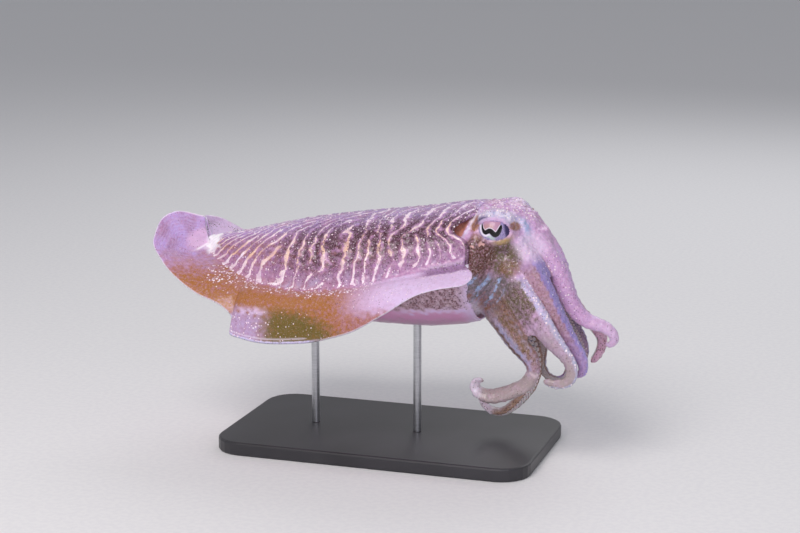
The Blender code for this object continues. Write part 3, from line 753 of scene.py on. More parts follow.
@dataclass(frozen=True)
class Fin:
    """One fin: at stations along its root, the place of its edge, how far it stays level, and its arch."""

    side: Side
    keys: tuple[tuple[float, ...], ...]
    front: float = -0.045
    rear: float = 0.985
    round_front: float = 0.007
    round_rear: float = 0.011
    root_half: float = 2.1
    edge_half: float = 0.55

    def extent(self, station: Array) -> Array:
        """How much of the fin's width is there: it rises from each end like a quarter circle.

        Args:
            station: place along the root.

        Returns:
            Shares, 0 at both ends and 1 between.
        """
        ahead = np.clip((station - self.front + self.round_front) / self.round_front, 0, 1)
        behind = np.clip((self.rear + self.round_rear - station) / self.round_rear, 0, 1)
        return np.sqrt(1 - (1 - np.minimum(ahead, behind)) ** 2)

    def surface(self, mantle: "Mantle", station: Array, across: Array) -> Array:
        """The middle of the fin, a quadratic Bezier curve from root to edge at each station.

        Args:
            mantle: what the fin grows from.
            station: place along the root, 0 at the opening and 1 at the tip.
            across: share of the way from root to edge, of the same shape.

        Returns:
            Points in millimetres.
        """
        table = np.array(self.keys)
        place = (station - self.front) / (self.rear - self.front) * (1 - self.front) + self.front
        x, y, z, level, arch = (smooth_through(table[:, 0], table[:, k], place) for k in range(1, 6))
        root = mantle.root_line(station * mantle.tip, self.side)
        edge = np.stack([x, y, z], axis=-1)
        bend = root + (edge - root) * level[..., None]
        bend[..., 2] = root[..., 2] + np.linalg.norm(edge - root, axis=-1) * arch
        share = across[..., None]
        return root * (1 - share) ** 2 + bend * 2 * share * (1 - share) + edge * share**2

    def sheet(self, mantle: "Mantle", x: Array, across: Array, face: float) -> tuple[Array, Array]:
        """One face of the fin, above (1) or below (-1) its middle, and the fin's width at each station.

        Args:
            mantle: what the fin grows from.
            x: places along the root in millimetres, shape (rows,).
            across: shares of the way from root to edge, shape (n,).
            face: which face.

        Returns:
            Points of shape (rows, n, 3), and widths of shape (rows,).
        """
        station = np.broadcast_to((x / mantle.tip)[:, None], (len(x), len(across)))
        extent = self.extent(station)
        share = across[None] * extent
        middle = self.surface(mantle, station, share)
        back = self.surface(mantle, np.clip(station + 0.004, self.front, self.rear), share)
        fore = self.surface(mantle, np.clip(station - 0.004, self.front, self.rear), share)
        outer = self.surface(mantle, station, np.minimum(share + 0.02, 1.0))
        inner = self.surface(mantle, station, share - 0.02)
        up = unit(np.cross(back - fore, outer - inner)) * -self.side.value
        half = self.root_half + (self.edge_half - self.root_half) * across
        half = half * np.sqrt(1 - np.minimum(across, 1.0) ** 14)
        points = middle + up * (face * half[None] * np.minimum(extent * 4, 1) ** 0.5)[..., None]
        steps = np.linalg.norm(np.diff(middle, axis=1), axis=-1)
        return points, steps.sum(axis=1)


@dataclass(frozen=True)
class Mantle:
    """The mantle with both fins, as one skin: rows from the pocket round the neck, over the lip and back
    to the tip, each a closed line over the back, out and back along a fin, under the belly and round."""

    right: Fin
    left: Fin
    tip: float = -204.0
    front: float = 13.0
    stations: tuple[float, ...] = (14, 0, -30, -70, -110, -145, -172, -192, -204)
    half_width: tuple[float, ...] = (45, 48, 52, 54, 51, 42, 29, 15, 0)
    back: tuple[float, ...] = (44, 42.5, 37.5, 32, 26, 18.5, 11.8, 8, 5)
    belly: tuple[float, ...] = (-42, -45.5, -48.5, -47.5, -42.5, -33, -20, -7, 3)
    level: tuple[float, ...] = (6, 2, -6, -17, -23, -21, -14, -5, 4)
    back_squareness: float = 2.3
    belly_squareness: float = 2.1
    pocket_back_set: float = 12.5
    pocket_angle: float = math.radians(50)
    pocket_spread: float = math.radians(13)
    outer_rows: int = 275
    top_columns: int = 109
    under_columns: int = 57
    # The white spot near the tip, along and up, and its rays' angles
    spot_at: tuple[float, float] = (-195.0, 4.5)
    rays: tuple[float, ...] = (-1.6, -2.6, -1.1, -0.7, -0.35)

    # Pocket floor, wall and lip: place along the body, share of the margin's back-set, share of the section
    inside: tuple[tuple[float, float, float], ...] = (
        (8.0, 1.0, 0.3), (8.0, 1.0, 0.6), (8.0, 1.0, 0.8), (8.2, 1.0, 0.88), (8.8, 1.0, 0.91),
        (9.6, 1.0, 0.93), (10.5, 1.0, 0.94), (11.5, 1.0, 0.948), (12.3, 1.0, 0.957), (12.9, 1.0, 0.967),
        (13.0, 1.0, 0.977), (12.8, 1.0, 0.987), (12.1, 1.0, 0.996),
    )

    def section(self, x: Array, angle: Array, scale: Array) -> Array:
        """The skin at x: a rounded square arch over a rounded belly, by powers of cosine and sine.

        Args:
            x: place along the body.
            angle: from straight up, towards the left.
            scale: share of the section's full size.

        Returns:
            Points in millimetres.
        """
        half, back, belly, level = (
            smooth_through(self.stations, values, x)
            for values in (self.half_width, self.back, self.belly, self.level)
        )
        above = np.cos(angle) >= 0
        power = 2.0 / np.where(above, self.back_squareness, self.belly_squareness)
        height = np.where(above, back - level, level - belly)
        y = half * np.sign(np.sin(angle)) * np.abs(np.sin(angle)) ** power
        z = level + height * np.sign(np.cos(angle)) * np.abs(np.cos(angle)) ** power
        return np.stack([x, y * scale, z * scale], axis=-1)

    def margin_shift(self, angle: Array) -> Array:
        """How far the free margin is drawn back: a bell on each side of the back, beside the eyes."""
        return -self.pocket_back_set * hump(np.abs(angle), self.pocket_angle, self.pocket_spread)

    def root_line(self, x: Array, side: Side) -> Array:
        """The widest line of the mantle's side, where a fin grows.

        Args:
            x: place along the body.
            side: which side.

        Returns:
            Points in millimetres.
        """
        half = smooth_through(self.stations, self.half_width, x)
        level = smooth_through(self.stations, self.level, x)
        return np.stack([x, side.value * half, level], axis=-1)

    def row_places(self) -> Array:
        """Where the outer rows stand: close together where a fin's edge runs fast past its root.

        Returns:
            Places along the body, from front to tip.
        """
        x = np.linspace(11.0, self.tip + 0.25, 4000)
        pace = np.abs(np.gradient(x))
        for fin, weight in ((self.right, 0.8), (self.left, 0.6)):
            share = fin.extent(x / self.tip)
            edge = fin.surface(self, x / self.tip, share)
            pace = np.maximum(pace, np.linalg.norm(np.gradient(edge, axis=0), axis=1) * weight)
        run = np.cumsum(pace)
        return np.interp(np.linspace(run[0], run[-1], self.outer_rows), run, x)

    def half_loop(self, rows: Array, fin: Fin, over: bool) -> Array:
        """From the middle of the back (or belly) to the fin's edge on one side, in even steps.

        Args:
            rows: for each row its place, its share of the margin's back-set and its share of the section.
            fin: the fin on that side.
            over: over the back, or under the belly.

        Returns:
            Shape (rows, columns, 8): the point, then station, flank, fin share, fin width and distance
            from the middle line.
        """
        sign = fin.side.value
        if over:
            angle = np.linspace(0, math.radians(87), 72)
        else:
            angle = np.linspace(math.pi, math.radians(93), 56)
        across = np.linspace(0.05, 1.0, 60 if over else 44) ** 0.9
        shift = self.margin_shift(angle)[None] * rows[:, 1:2]
        body = self.section(rows[:, :1] + shift, sign * angle[None] + 0 * shift, rows[:, 2:3] + 0 * shift)
        sheet, width = fin.sheet(self, rows[:, 0], across, 1.0 if over else -1.0)
        scale = rows[:, 2]
        shut = self.section(rows[:, 0], np.full(len(rows), sign * math.pi / 2), scale)
        sheet = np.where((scale < 1)[:, None, None], shut[:, None], sheet)
        line = np.concatenate([body, sheet], axis=1)
        steps = np.linalg.norm(np.diff(body, axis=1), axis=-1)
        around = np.concatenate([np.zeros((len(rows), 1)), np.cumsum(steps, axis=1)], axis=1)
        count = line.shape[1]
        near = hump(np.arange(count), len(angle) - 0.5, 9.0)[None, 1:-1, None]
        for _ in range(36):
            line[:, 1:-1] += near * 0.5 * ((line[:, 2:] + line[:, :-2]) / 2 - line[:, 1:-1])
        marks = np.zeros((len(rows), count, 5))
        marks[..., 0] = rows[:, :1] / self.tip
        marks[:, : len(angle), 1] = around / around[:, -1:]
        marks[:, len(angle) :, 1] = 1.0
        marks[:, len(angle) :, 2] = across
        marks[..., 3] = (width * (scale >= 1))[:, None]
        marks[:, : len(angle), 4] = around
        marks[:, len(angle) :, 4] = around[:, -1:]
        columns = self.top_columns if over else self.under_columns
        return self.even_steps(np.concatenate([line, marks], axis=-1), columns)

    @staticmethod
    def even_steps(lines: Array, columns: int) -> Array:
        """Each row's line at even steps of its own length, everything that it carries interpolated.

        Args:
            lines: shape (rows, points, values), the first three values being the place.
            columns: how many points each row is to have.

        Returns:
            Shape (rows, columns, values).
        """
        steps = np.linalg.norm(np.diff(lines[..., :3], axis=1), axis=-1)
        run = np.concatenate([np.zeros((len(lines), 1)), np.cumsum(steps, axis=1)], axis=1)
        apart = np.arange(len(lines))[:, None] * (run.max() + 1.0)
        wanted = np.linspace(0, 1, columns)[None] * run[:, -1:] + apart
        flat = (run + apart).ravel()
        return np.stack(
            [
                np.interp(wanted.ravel(), flat, lines[..., k].ravel()).reshape(wanted.shape)
                for k in range(lines.shape[-1])
            ],
            axis=-1,
        )

    def surface(self) -> tuple[Array, Array]:
        """The whole skin: the pocket's rows and the outer rows, each a ring of four half loops.

        Returns:
            Points of shape (rows, columns, 3), and for each what it carries, as painted() reads it.
        """
        outer = self.row_places()
        gone = np.clip((outer - 11.0) / (self.tip - 11.0), 0, 1)
        rows = np.concatenate(
            [np.array(self.inside), np.stack([outer, (1 - gone) ** 5, np.ones(len(outer))], axis=1)]
        )
        right_over, right_under, left_over, left_under = (
            self.half_loop(rows, fin, over) for fin in (self.right, self.left) for over in (True, False)
        )
        loops, under, side = [], [], []
        for part, is_under, sign in (
            (right_over[:, :-1], 0.0, -1.0),
            (right_under[:, ::-1][:, :-1], 1.0, -1.0),
            (left_under[:, :-1], 1.0, 1.0),
            (left_over[:, ::-1][:, :-1], 0.0, 1.0),
        ):
            loops.append(part)
            under.append(np.full(part.shape[:2], is_under))
            side.append(np.full(part.shape[:2], sign))
        whole = np.concatenate(loops, axis=1)
        sides = [np.concatenate(values, axis=1)[..., None] for values in (under, side)]
        return whole[..., :3], np.concatenate([whole[..., 3:], *sides], axis=-1)

    def stripes(self, marks: Array, sway: Array, fleck: Array) -> Array:
        """The stripes: they cross the body, lean forwards over the back and crowd to the tail.

        Args:
            marks: what each point carries.
            sway: noise in millimetres that bends the stripes.
            fleck: fast noise that frays them.

        Returns:
            1 on the crest of a light line, -1 in the middle of a dark band.
        """
        around, side = marks[..., 4], marks[..., 6]
        x = marks[..., 0] * self.tip
        places = (13, -60, -110, -150, -180, -204)
        lean = smooth_through(places, (0.05, 0.15, 0.45, 0.95, 1.7, 2.3), x)
        over_back = smooth_through(places, (1.5, 0.9, 0.75, 0.5, 0.3, 0.2), x)
        grid = np.linspace(14, -206, 221)
        pace = smooth_through(places, (1.0, 1.0, 1.05, 1.15, 1.3, 1.45), grid)
        run = np.concatenate([[0], np.cumsum((pace[1:] + pace[:-1]) / 2)])
        out = np.sqrt(around**2 + 30) - math.sqrt(30)
        along = -np.interp(-x, -grid, run) + lean * 45 * np.tanh(out / 45)
        along += over_back * 20 * np.tanh(out / 20) + sway + 0.4 * fleck
        field = StripeField()
        return field.sampled(field.grown(), along, side * around * 0.9 + 0.6 * fleck)

    def painted(self, points: Array, marks: Array) -> Masks:
        """What the skin's finish reads: stripes, washes of colour, specks and dots.

        Args:
            points: the surface.
            marks: station, flank, fin share, fin width, distance from the middle line, underside, side.

        Returns:
            One value a point for each mask.
        """
        station, flank, fin, width, around, under, side = np.moveaxis(marks, -1, 0)
        shape = station.shape
        flat = points.reshape(-1, 3)
        blotch, fleck, grain = (
            mottle(flat, size, seed).reshape(shape) for size, seed in ((14.0, 3), (5.0, 4), (3.2, 5))
        )
        x, y, z = np.moveaxis(points, -1, 0)
        hang = smooth_through(self.stations, self.level, station * self.tip) - z
        inside = np.zeros(shape)
        inside[: len(self.inside) - 4] = 1.0
        lip = np.zeros(shape)
        lip[len(self.inside) - 4 : len(self.inside) + 1] = 1.0
        # Millimetres past the root line towards the fin's edge, negative on the body
        past = fin * width + around * (1 - 1 / np.maximum(flank, 0.01))
        on_fin = rise(fin, 0.02, 0.12)
        body = (1 - on_fin) * (1 - inside)
        below, above = under * body, 1 - under
        ends_at = -3.5 + 6.5 * rise(-x, 25, 60)
        top = above * (1 - inside) * fall(past - ends_at + 0.8 * fleck, -1, 1)
        rim = (1 - fin) * width + 9 * (1 - on_fin)
        lobe = on_fin * rise(station, 0.755, 0.775)

        # The stripes, the white spot with its rays, and the dark bands between the stripes
        sway = 3.0 * mottle(flat, 36.0, 6) + mottle(flat, 7.0, 7)
        field = self.stripes(marks, sway.reshape(shape), fleck)
        near_root = rise(flank, 0.78, 1.0)
        white = patch(x + 0.8 * fleck, z + 0.8 * grain, self.spot_at, (6.5, 8.5))
        ahead, up = x - self.spot_at[0], z - self.spot_at[1]
        reach, way = np.hypot(ahead, up), np.arctan2(up, ahead)
        for angle in self.rays:
            off = np.abs(np.angle(np.exp(1j * (way - angle + 0.03 * blotch)))) * reach
            white = np.maximum(white, 0.8 * hump(off, 0.0, 0.8) * fall(reach, 10, 26))
        white = white * above * fall(np.abs(y) + 2 * fleck, 13, 20)
        rear = rise(-x, 100, 150)
        none = 2 * (1 - top) - 0.06 * fall(flank, 0.2, 0.4) - 0.12 * near_root - 0.16 * rear
        stripe = field - none - 0.12 * np.clip(blotch, -1, 1)
        flank_dark = (0.15 + 0.85 * hump(flank, 0.57, 0.3)) * (1 - 0.65 * rear)
        dark = 0.75 - 0.6 * field + 0.35 * blotch + 0.3 * fleck + 0.2 * grain
        dark = flank_dark * np.clip(dark, 0, 1) * (1 - 0.25 * near_root) * (1 - white)
        margin = above * rise(past, -3, -1) * fall(past + fleck, 9, 12)
        margin = margin * rise(x, -24, -10) * (1 - inside)
        brown = top * dark + 0.4 * margin
        brown += 0.85 * lobe * (side > 0) * hump(rim + 0.3 * fleck, 4.4, 1.7)
        brown += 0.6 * lip * rise(z, -8, 0) * fall(z, 18, 28)

        # The side and the belly, under the fin's root
        side_band = below * rise(-z, 6, 11) * fall(-z + 1.5 * fleck, 27, 30)
        side_band = side_band * rise(x, -75, -40)
        collar = below * rise(x + fleck, 2, 11) * rise(-z + 2 * fleck, 2, 14)
        mesh = side_band * np.clip(0.75 + 0.5 * grain, 0, 1) * (1 - 0.7 * collar)
        streak = below * hump(-z + 2.0 * fleck + 0.06 * x, 29.5, 1.6) * rise(x, -50, -25)
        magenta = below * hump(-z + 1.5 * blotch, 34.0, 3.6)
        belly = below * rise(-z, 26, 36)

        # The fins: the rear lobe, the pale front, the folds at the step, olive and orange between
        lavender_rear = lobe * rise(z + 2.5 * fleck, -16, 2)
        orange_rear = 0.9 * lobe * fall(z + 2.5 * fleck, -20, 2)
        front = rise(x + 2 * blotch, -22, -8)
        upper = rise(x, -80, -45) * fall(hang + 1.5 * fleck, 7, 16)
        pale_fin = on_fin * above * np.maximum(front, upper)
        pale_fin = np.maximum(pale_fin, on_fin * under * 0.8 * rise(x, -40, -10)) * (1 - margin)
        pale_fin = pale_fin * (1 - 0.35 * fall(x, -60, -25))
        before = on_fin * (1 - lobe)
        corner = before * rise(-x + 3 * fleck, 122, 142) * rise(-z + 2 * fleck, 28, 40)
        folds = before * hump(z + 34 + 1.5 * fleck, 0, 2) * rise(-x, 128, 134) * fall(-x, 150, 156)
        olive = on_fin * patch(x + 4 * fleck, z + 2 * grain, (-113, -48), (38, 17)) * (1 - corner)
        beyond = np.where(under > 0, on_fin, rise(past + 1.5 * fleck, 2, 7))
        orange = beyond * (1 - lobe) * rise(-x, 8, 40) * (1 - pale_fin) * (1 - 0.8 * corner)
        orange = orange * (1 - 0.35 * rise(x, -100, -50))
        orange += 0.5 * top * hump(flank, 0.66, 0.2) * rise(-x, 10, 60) * rise(grain, -0.3, 0.5)
        orange += orange_rear + 0.3 * top * rise(flank, 0.86, 1.0) * rise(-x, 60, 120)
        lines = 0.5 + 0.5 * np.cos((rim + 1.2 * blotch + 0.4 * fleck) * 2 * math.pi / 2.0)
        wide_edge = on_fin * rise(-x, 82, 100) * rise(-z, 36, 42) * fall(-x, 160, 166)
        loops = 0.5 * top * near_root * rise(x, -165, -120) * np.clip(-0.6 * field + 0.4 * blotch, 0, 1)
        lavender = top * (0.6 + 0.35 * blotch) * fall(flank, 0.25, 0.6)
        lavender += 0.75 * lavender_rear * (0.9 + 0.4 * blotch) + 0.6 * corner + 0.5 * margin
        cream = 0.5 * below + 0.4 * side_band + 0.8 * streak + inside * rise(-z, 0, 15)
        blue = loops + 0.2 * lavender_rear * lines + wide_edge * fall(rim, 0.8, 1.2) + 0.25 * corner
        rosy = lobe * patch(x, z, (-205, 5), (9, 7))

        # What is pale, specked with brown and dotted with white
        pale = 0.6 * lip * rise(-z, 5, 25) + streak + 0.7 * folds + 0.7 * collar + 0.5 * rosy
        # Painted light: the left fin's rear lobe, which lies in shade, made paler
        pale += 0.5 * lobe * (side > 0)
        # The speck mask also places the painted glints of highlight
        specks = 0.85 * brown + 0.45 * top * (1 - 0.4 * rear) + 0.95 * side_band
        specks += 0.35 * on_fin + 0.3 * margin
        band = above * rise(past + fleck, -3, 1) * fall(past + 2 * fleck, 12, 18)
        band = band * rise(-x, 40, 70) * fall(-x, 150, 175)
        dots = 0.95 * band + 0.3 * top * rise(flank, 0.7, 0.97) + 0.35 * pale_fin
        dots += 0.7 * corner + 0.3 * olive + 0.75 * top * (1 - flank) + 0.2 * orange_rear
        dots += 0.5 * top * rise(fleck, 0.2, 0.9) * rise(-field, -0.2, 0.5)
        dots += 0.9 * above * hump(past, 11, 2.5) * rise(x, -24, -10)
        dots += 0.9 * above * patch(x, z, (-176, -14), (14, 7))
        return {
            "stripe": np.where(inside + lip > 0, -1.0, stripe),
            "warm": np.clip(hump(flank, 0.62, 0.22) * (0.9 + 0.5 * blotch), 0, 1),
            "brown": brown,
            "mesh": 0.8 * mesh + 0.2 * corner + 0.22 * lavender_rear * rise(-blotch, -0.4, 0.8),
            "orange": np.clip(orange, 0, 1),
            "olive": olive,
            "lavender": np.clip(lavender, 0, 1),
            "pink": np.clip(0.5 * belly + magenta + 0.15 * band + 0.8 * rosy, 0, 1),
            "cream": np.clip(cream, 0, 1),
            # Painted shade: the pocket's upper inner wall takes the brown-orange of the shadowed gap round
            # the neck
            "pocket": inside * fall(-z, 0, 15),
            "blue": np.clip(blue, 0, 1),
            "pale": np.clip(np.maximum(0.9 * pale_fin, pale), 0, 1),
            "rim": np.maximum(-rim - 2 * wide_edge, -0.3 - 0.9 * np.abs(rim - 1.9) - 3 * (1 - wide_edge)),
            "white": white,
            "speck": np.clip(specks, 0, 1),
            "dot": np.clip(dots, 0, 1),
            "relief": top * (0.32 * field + 0.12 * grain) + 0.08 * lobe * lines + 0.6 * folds,
        }

    def build(self, finish: bpy.types.Material) -> None:
        """Makes the skin, dresses it and puts it in place of the mantle's and the fins' nodes.

        Args:
            finish: the skin's material.
        """
        points, marks = self.surface()
        shell = stacked(points, self.painted(points, marks))
        on_body = fall(np.concatenate([[0], marks[..., 2].ravel(), [0]]), 0.0, 0.2)
        height = 0.2 * mottle(shell.points, 4.5, 21) * (0.4 + 0.6 * on_body)
        shell.raised(height + shell.masks.pop("relief"))
        lengths = ("front", "middle", "rear")
        nodes = ["mantle"] + [f"fin_{side}_{length}" for side in ("right", "left") for length in lengths]
        show("mantle_skin", shell.mesh("mantle_skin"), finish, Slot.MANTLE, *nodes)


# Head and arms


@dataclass(frozen=True)
class Arm:
    """One arm: where it leaves the crown, its length and widths, and how it bends and turns.

    Its centre line adds up its direction from the root, which is given by pitch, counted from forwards
    and up, and splay, towards the left. Its section is an oval, flatter on its inner face, with a fold of
    skin on each side of the suckers and a low keel along one edge.
    """

    side: Side
    rank: int
    root: tuple[float, float, float]
    length: float
    widths: tuple[float, ...]
    depth_share: float
    pitch: tuple[float, ...]
    splay: tuple[float, ...]
    roll: tuple[float, ...]
    keel: float = 0.0
    keel_at: float = 90.0
    fold: float = 0.34
    oral_flatness: float = 0.55
    stub: float = 12.0

    def tangent(self, share: Array) -> Array:
        """The arm's direction.

        Args:
            share: place along the arm, 0 at its root and 1 at its tip.

        Returns:
            Vectors of length one.
        """
        steps = np.linspace(0.0, 1.0, len(self.pitch))
        pitch = np.radians(smooth_through(steps, self.pitch, share))
        splay = np.radians(smooth_through(steps, self.splay, share))
        return np.stack(
            [np.cos(splay) * np.cos(pitch), np.sin(splay), np.cos(splay) * np.sin(pitch)], axis=-1
        )

    def centre(self, share: Array) -> Array:
        """The arm's centre line.

        Args:
            share: place along the arm; below 0 the line runs straight back into the head.

        Returns:
            Points in millimetres.
        """
        fine = np.linspace(0.0, 1.0, 241)
        way = self.tangent(fine)
        run = np.cumsum((way[1:] + way[:-1]) / 2 * self.length / 240, axis=0)
        line = np.array(self.root) + np.concatenate([np.zeros((1, 3)), run])
        inside = np.stack([np.interp(share, fine, line[:, k]) for k in range(3)], axis=-1)
        return inside + np.minimum(share, 0.0)[..., None] * self.length * way[0]

    def frame(self, share: Array) -> tuple[Array, Array, Array]:
        """The arm's own axes.

        Args:
            share: place along the arm.

        Returns:
            Its direction, its inner (oral) direction and its sideways direction.
        """
        way = self.tangent(np.clip(share, 0.0, 1.0))
        left = np.array([0.0, 1.0, 0.0])
        level = unit(left - way * (way @ left)[..., None])
        up = np.cross(way, level)
        roll = np.radians(np.interp(share, (0.0, 0.5, 1.0), self.roll))[..., None]
        oral = -self.side.value * np.cos(roll) * level + np.sin(roll) * up
        return way, oral, np.cross(way, oral)

    def width(self, share: Array) -> Array:
        """The arm's width."""
        return smooth_through(np.linspace(0.0, 1.0, len(self.widths)), self.widths, share)

    def skin(self, share: Array, angle: Array, scale: Array) -> Array:
        """The arm's skin: an oval with two folds and a keel, each a bell round its own angle.

        Args:
            share: place along the arm.
            angle: from the inner direction.
            scale: share of the full width.

        Returns:
            Points in millimetres.
        """
        _, oral, sideways = self.frame(share)
        half = (self.width(share) / 2 * scale)[..., None]
        inner = np.cos(angle)
        flat = np.where(inner > 0, self.oral_flatness, 1.0) * self.depth_share
        free = rise(share, 0.12, 0.30)
        fold = self.fold * free * hump(np.arccos(inner), 1.15, 0.30)
        edge = angle + self.side.value * math.radians(self.keel_at)
        keel = 1 + self.keel * free * hump(np.arccos(np.cos(edge)), 0.0, 0.32)
        return (
            self.centre(share)
            + oral * half * (inner * flat * keel + fold)[..., None]
            + sideways * half * (np.sin(angle) * keel)[..., None]
        )

    def shell(self) -> Shell:
        """The whole arm, with a rounded tip.

        Returns:
            One closed shell.
        """
        straight = np.linspace(-self.stub / self.length, 0.96, 110)
        share = np.concatenate([straight, 0.96 + 0.04 * np.sin(np.linspace(0.1, 1.5, 12))])
        scale = np.sqrt(np.clip(1 - ((share - 0.96) / 0.042).clip(0, 1) ** 2, 0.0, 1.0))
        angle = turns(44)
        grid, around = np.meshgrid(share, angle, indexing="ij")
        return stacked(self.skin(grid, around, scale[:, None] + 0 * around), {})

    def nodes(self) -> list[str]:
        """The arm's CAD nodes."""
        return [f"arm_{self.side.name.lower()}_{self.rank}_{part}" for part in ("base", "middle", "tip")]


@dataclass(frozen=True)
class Web:
    """The skin between two neighbouring arms: a sheet with a hollow free edge, thicker at its root."""

    first: Arm
    second: Arm
    reach: float = 0.36
    hollow: float = 0.13
    outward: float = 0.18
    root_half: float = 3.4
    edge_half: float = 1.0

    def shell(self) -> Shell:
        """The sheet: flat rings from the root to the edge, both ends sewn shut.

        Returns:
            One closed shell.
        """
        columns = 48
        share, turn = np.meshgrid(
            np.linspace(0, 1, 44), turns(columns), indexing="ij"
        )
        across = 0.5 - 0.5 * np.cos(turn)
        along = -0.06 + share * (self.reach + 0.06 - self.hollow * (1 - (2 * across - 1) ** 2))
        weight = across[..., None]
        middle = self.first.centre(along) * (1 - weight) + self.second.centre(along) * weight
        out = -unit(self.first.frame(along)[1] * (1 - weight) + self.second.frame(along)[1] * weight)
        wide = self.first.width(along.clip(0)) * (1 - across) + self.second.width(along.clip(0)) * across
        half = self.root_half + (self.edge_half - self.root_half) * share
        points = middle + out * (wide * self.outward + half * np.sin(turn))[..., None]
        quads = ring_faces(len(share), columns)[0] - 1
        j = np.arange(1, columns // 2 - 1)
        ends = []
        for first, order in ((0, 1), ((len(share) - 1) * columns, -1)):
            strip = np.stack([j, j + 1, columns - j - 1, columns - j], axis=-1)
            tips = np.array([[0, 1, columns - 1], [columns // 2 - 1, columns // 2, columns // 2 + 1]])
            ends.append((first + strip[:, ::order], first + tips[:, ::order]))
        faces = [np.concatenate([quads, ends[0][0], ends[1][0]]), np.concatenate([ends[0][1], ends[1][1]])]
        return Shell(points.reshape(-1, 3), faces, {}).turned_out()


@dataclass(frozen=True)
class EyeSeat:
    """Where an eye sits: its centre, the way it looks, and its opening."""

    side: Side
    centre_at: tuple[float, float, float] = (27.0, 24.5, 27.0)
    radius: float = 14.0
    look: tuple[float, float, float] = (0.10, 1.0, 0.30)
    length: float = 25.0
    height: float = 15.5
    drop: float = 0.5

    def centre(self) -> Array:
        """The middle of the ball."""
        return np.array(self.centre_at) * (1, self.side.value, 1)

    def frame(self) -> tuple[Array, Array, Array]:
        """The eye's own axes.

        Returns:
            The directions ahead along the opening, upwards over it, and out of the eye.
        """
        out = unit(np.array(self.look) * (1, self.side.value, 1))
        ahead = unit(np.array([1.0, 0, 0]) - out * out[0])
        up = np.array([0, 0, 1.0]) - out * out[2]
        return ahead, unit(up - ahead * (up @ ahead)), out

    def local(self, points: Array) -> tuple[Array, Array, Array]:
        """Each point's place ahead, above and out from the ball's middle."""
        off = points - self.centre()
        return tuple(off @ way for way in self.frame())

    def opening(self, points: Array) -> tuple[Array, Array]:
        """How far each point lies from the opening's middle, 1 on its rim, and out from the ball's."""
        u, v, out = self.local(points)
        return np.hypot(u / (self.length / 2), (v + self.drop) / (self.height / 2)), out

    def ball(self, radii: tuple[float, float, float], rings: Array, columns: int) -> Array:
        """Rings of points round the eye's axis.

        Args:
            radii: half sizes ahead, out and upwards.
            rings: each ring's angle from the axis.
            columns: how many points a ring has.

        Returns:
            Points of shape (rings, columns, 3).
        """
        turn = turns(columns)
        off, around = np.meshgrid(rings, turn, indexing="ij")
        parts = (
            radii[0] * np.sin(off) * np.cos(around),
            radii[2] * np.sin(off) * np.sin(around),
            radii[1] * np.cos(off),
        )
        return self.centre() + sum(p[..., None] * way for p, way in zip(parts, self.frame()))

    def lids(self) -> Shell:
        """The lids: a ring round the oval opening, lying on the ball, thicker above than below.

        Returns:
            One closed shell.
        """
        turn = turns(120)
        tube = turns(16)
        around, roll = np.meshgrid(turn, tube, indexing="ij")
        thick = 0.95 + 0.75 * np.clip(np.sin(around), 0, 1)
        reach = 1 + (np.cos(roll) + 0.7) * thick / 10.5
        u = np.cos(around) * self.length / 2 * reach
        v = np.sin(around) * self.height / 2 * reach - self.drop
        depth = np.sqrt(np.maximum((self.radius + 0.9) ** 2 - u**2 - v**2, 0)) + np.sin(roll) * thick
        ahead, up, out = self.frame()
        return hoop(self.centre() + u[..., None] * ahead + v[..., None] * up + depth[..., None] * out)


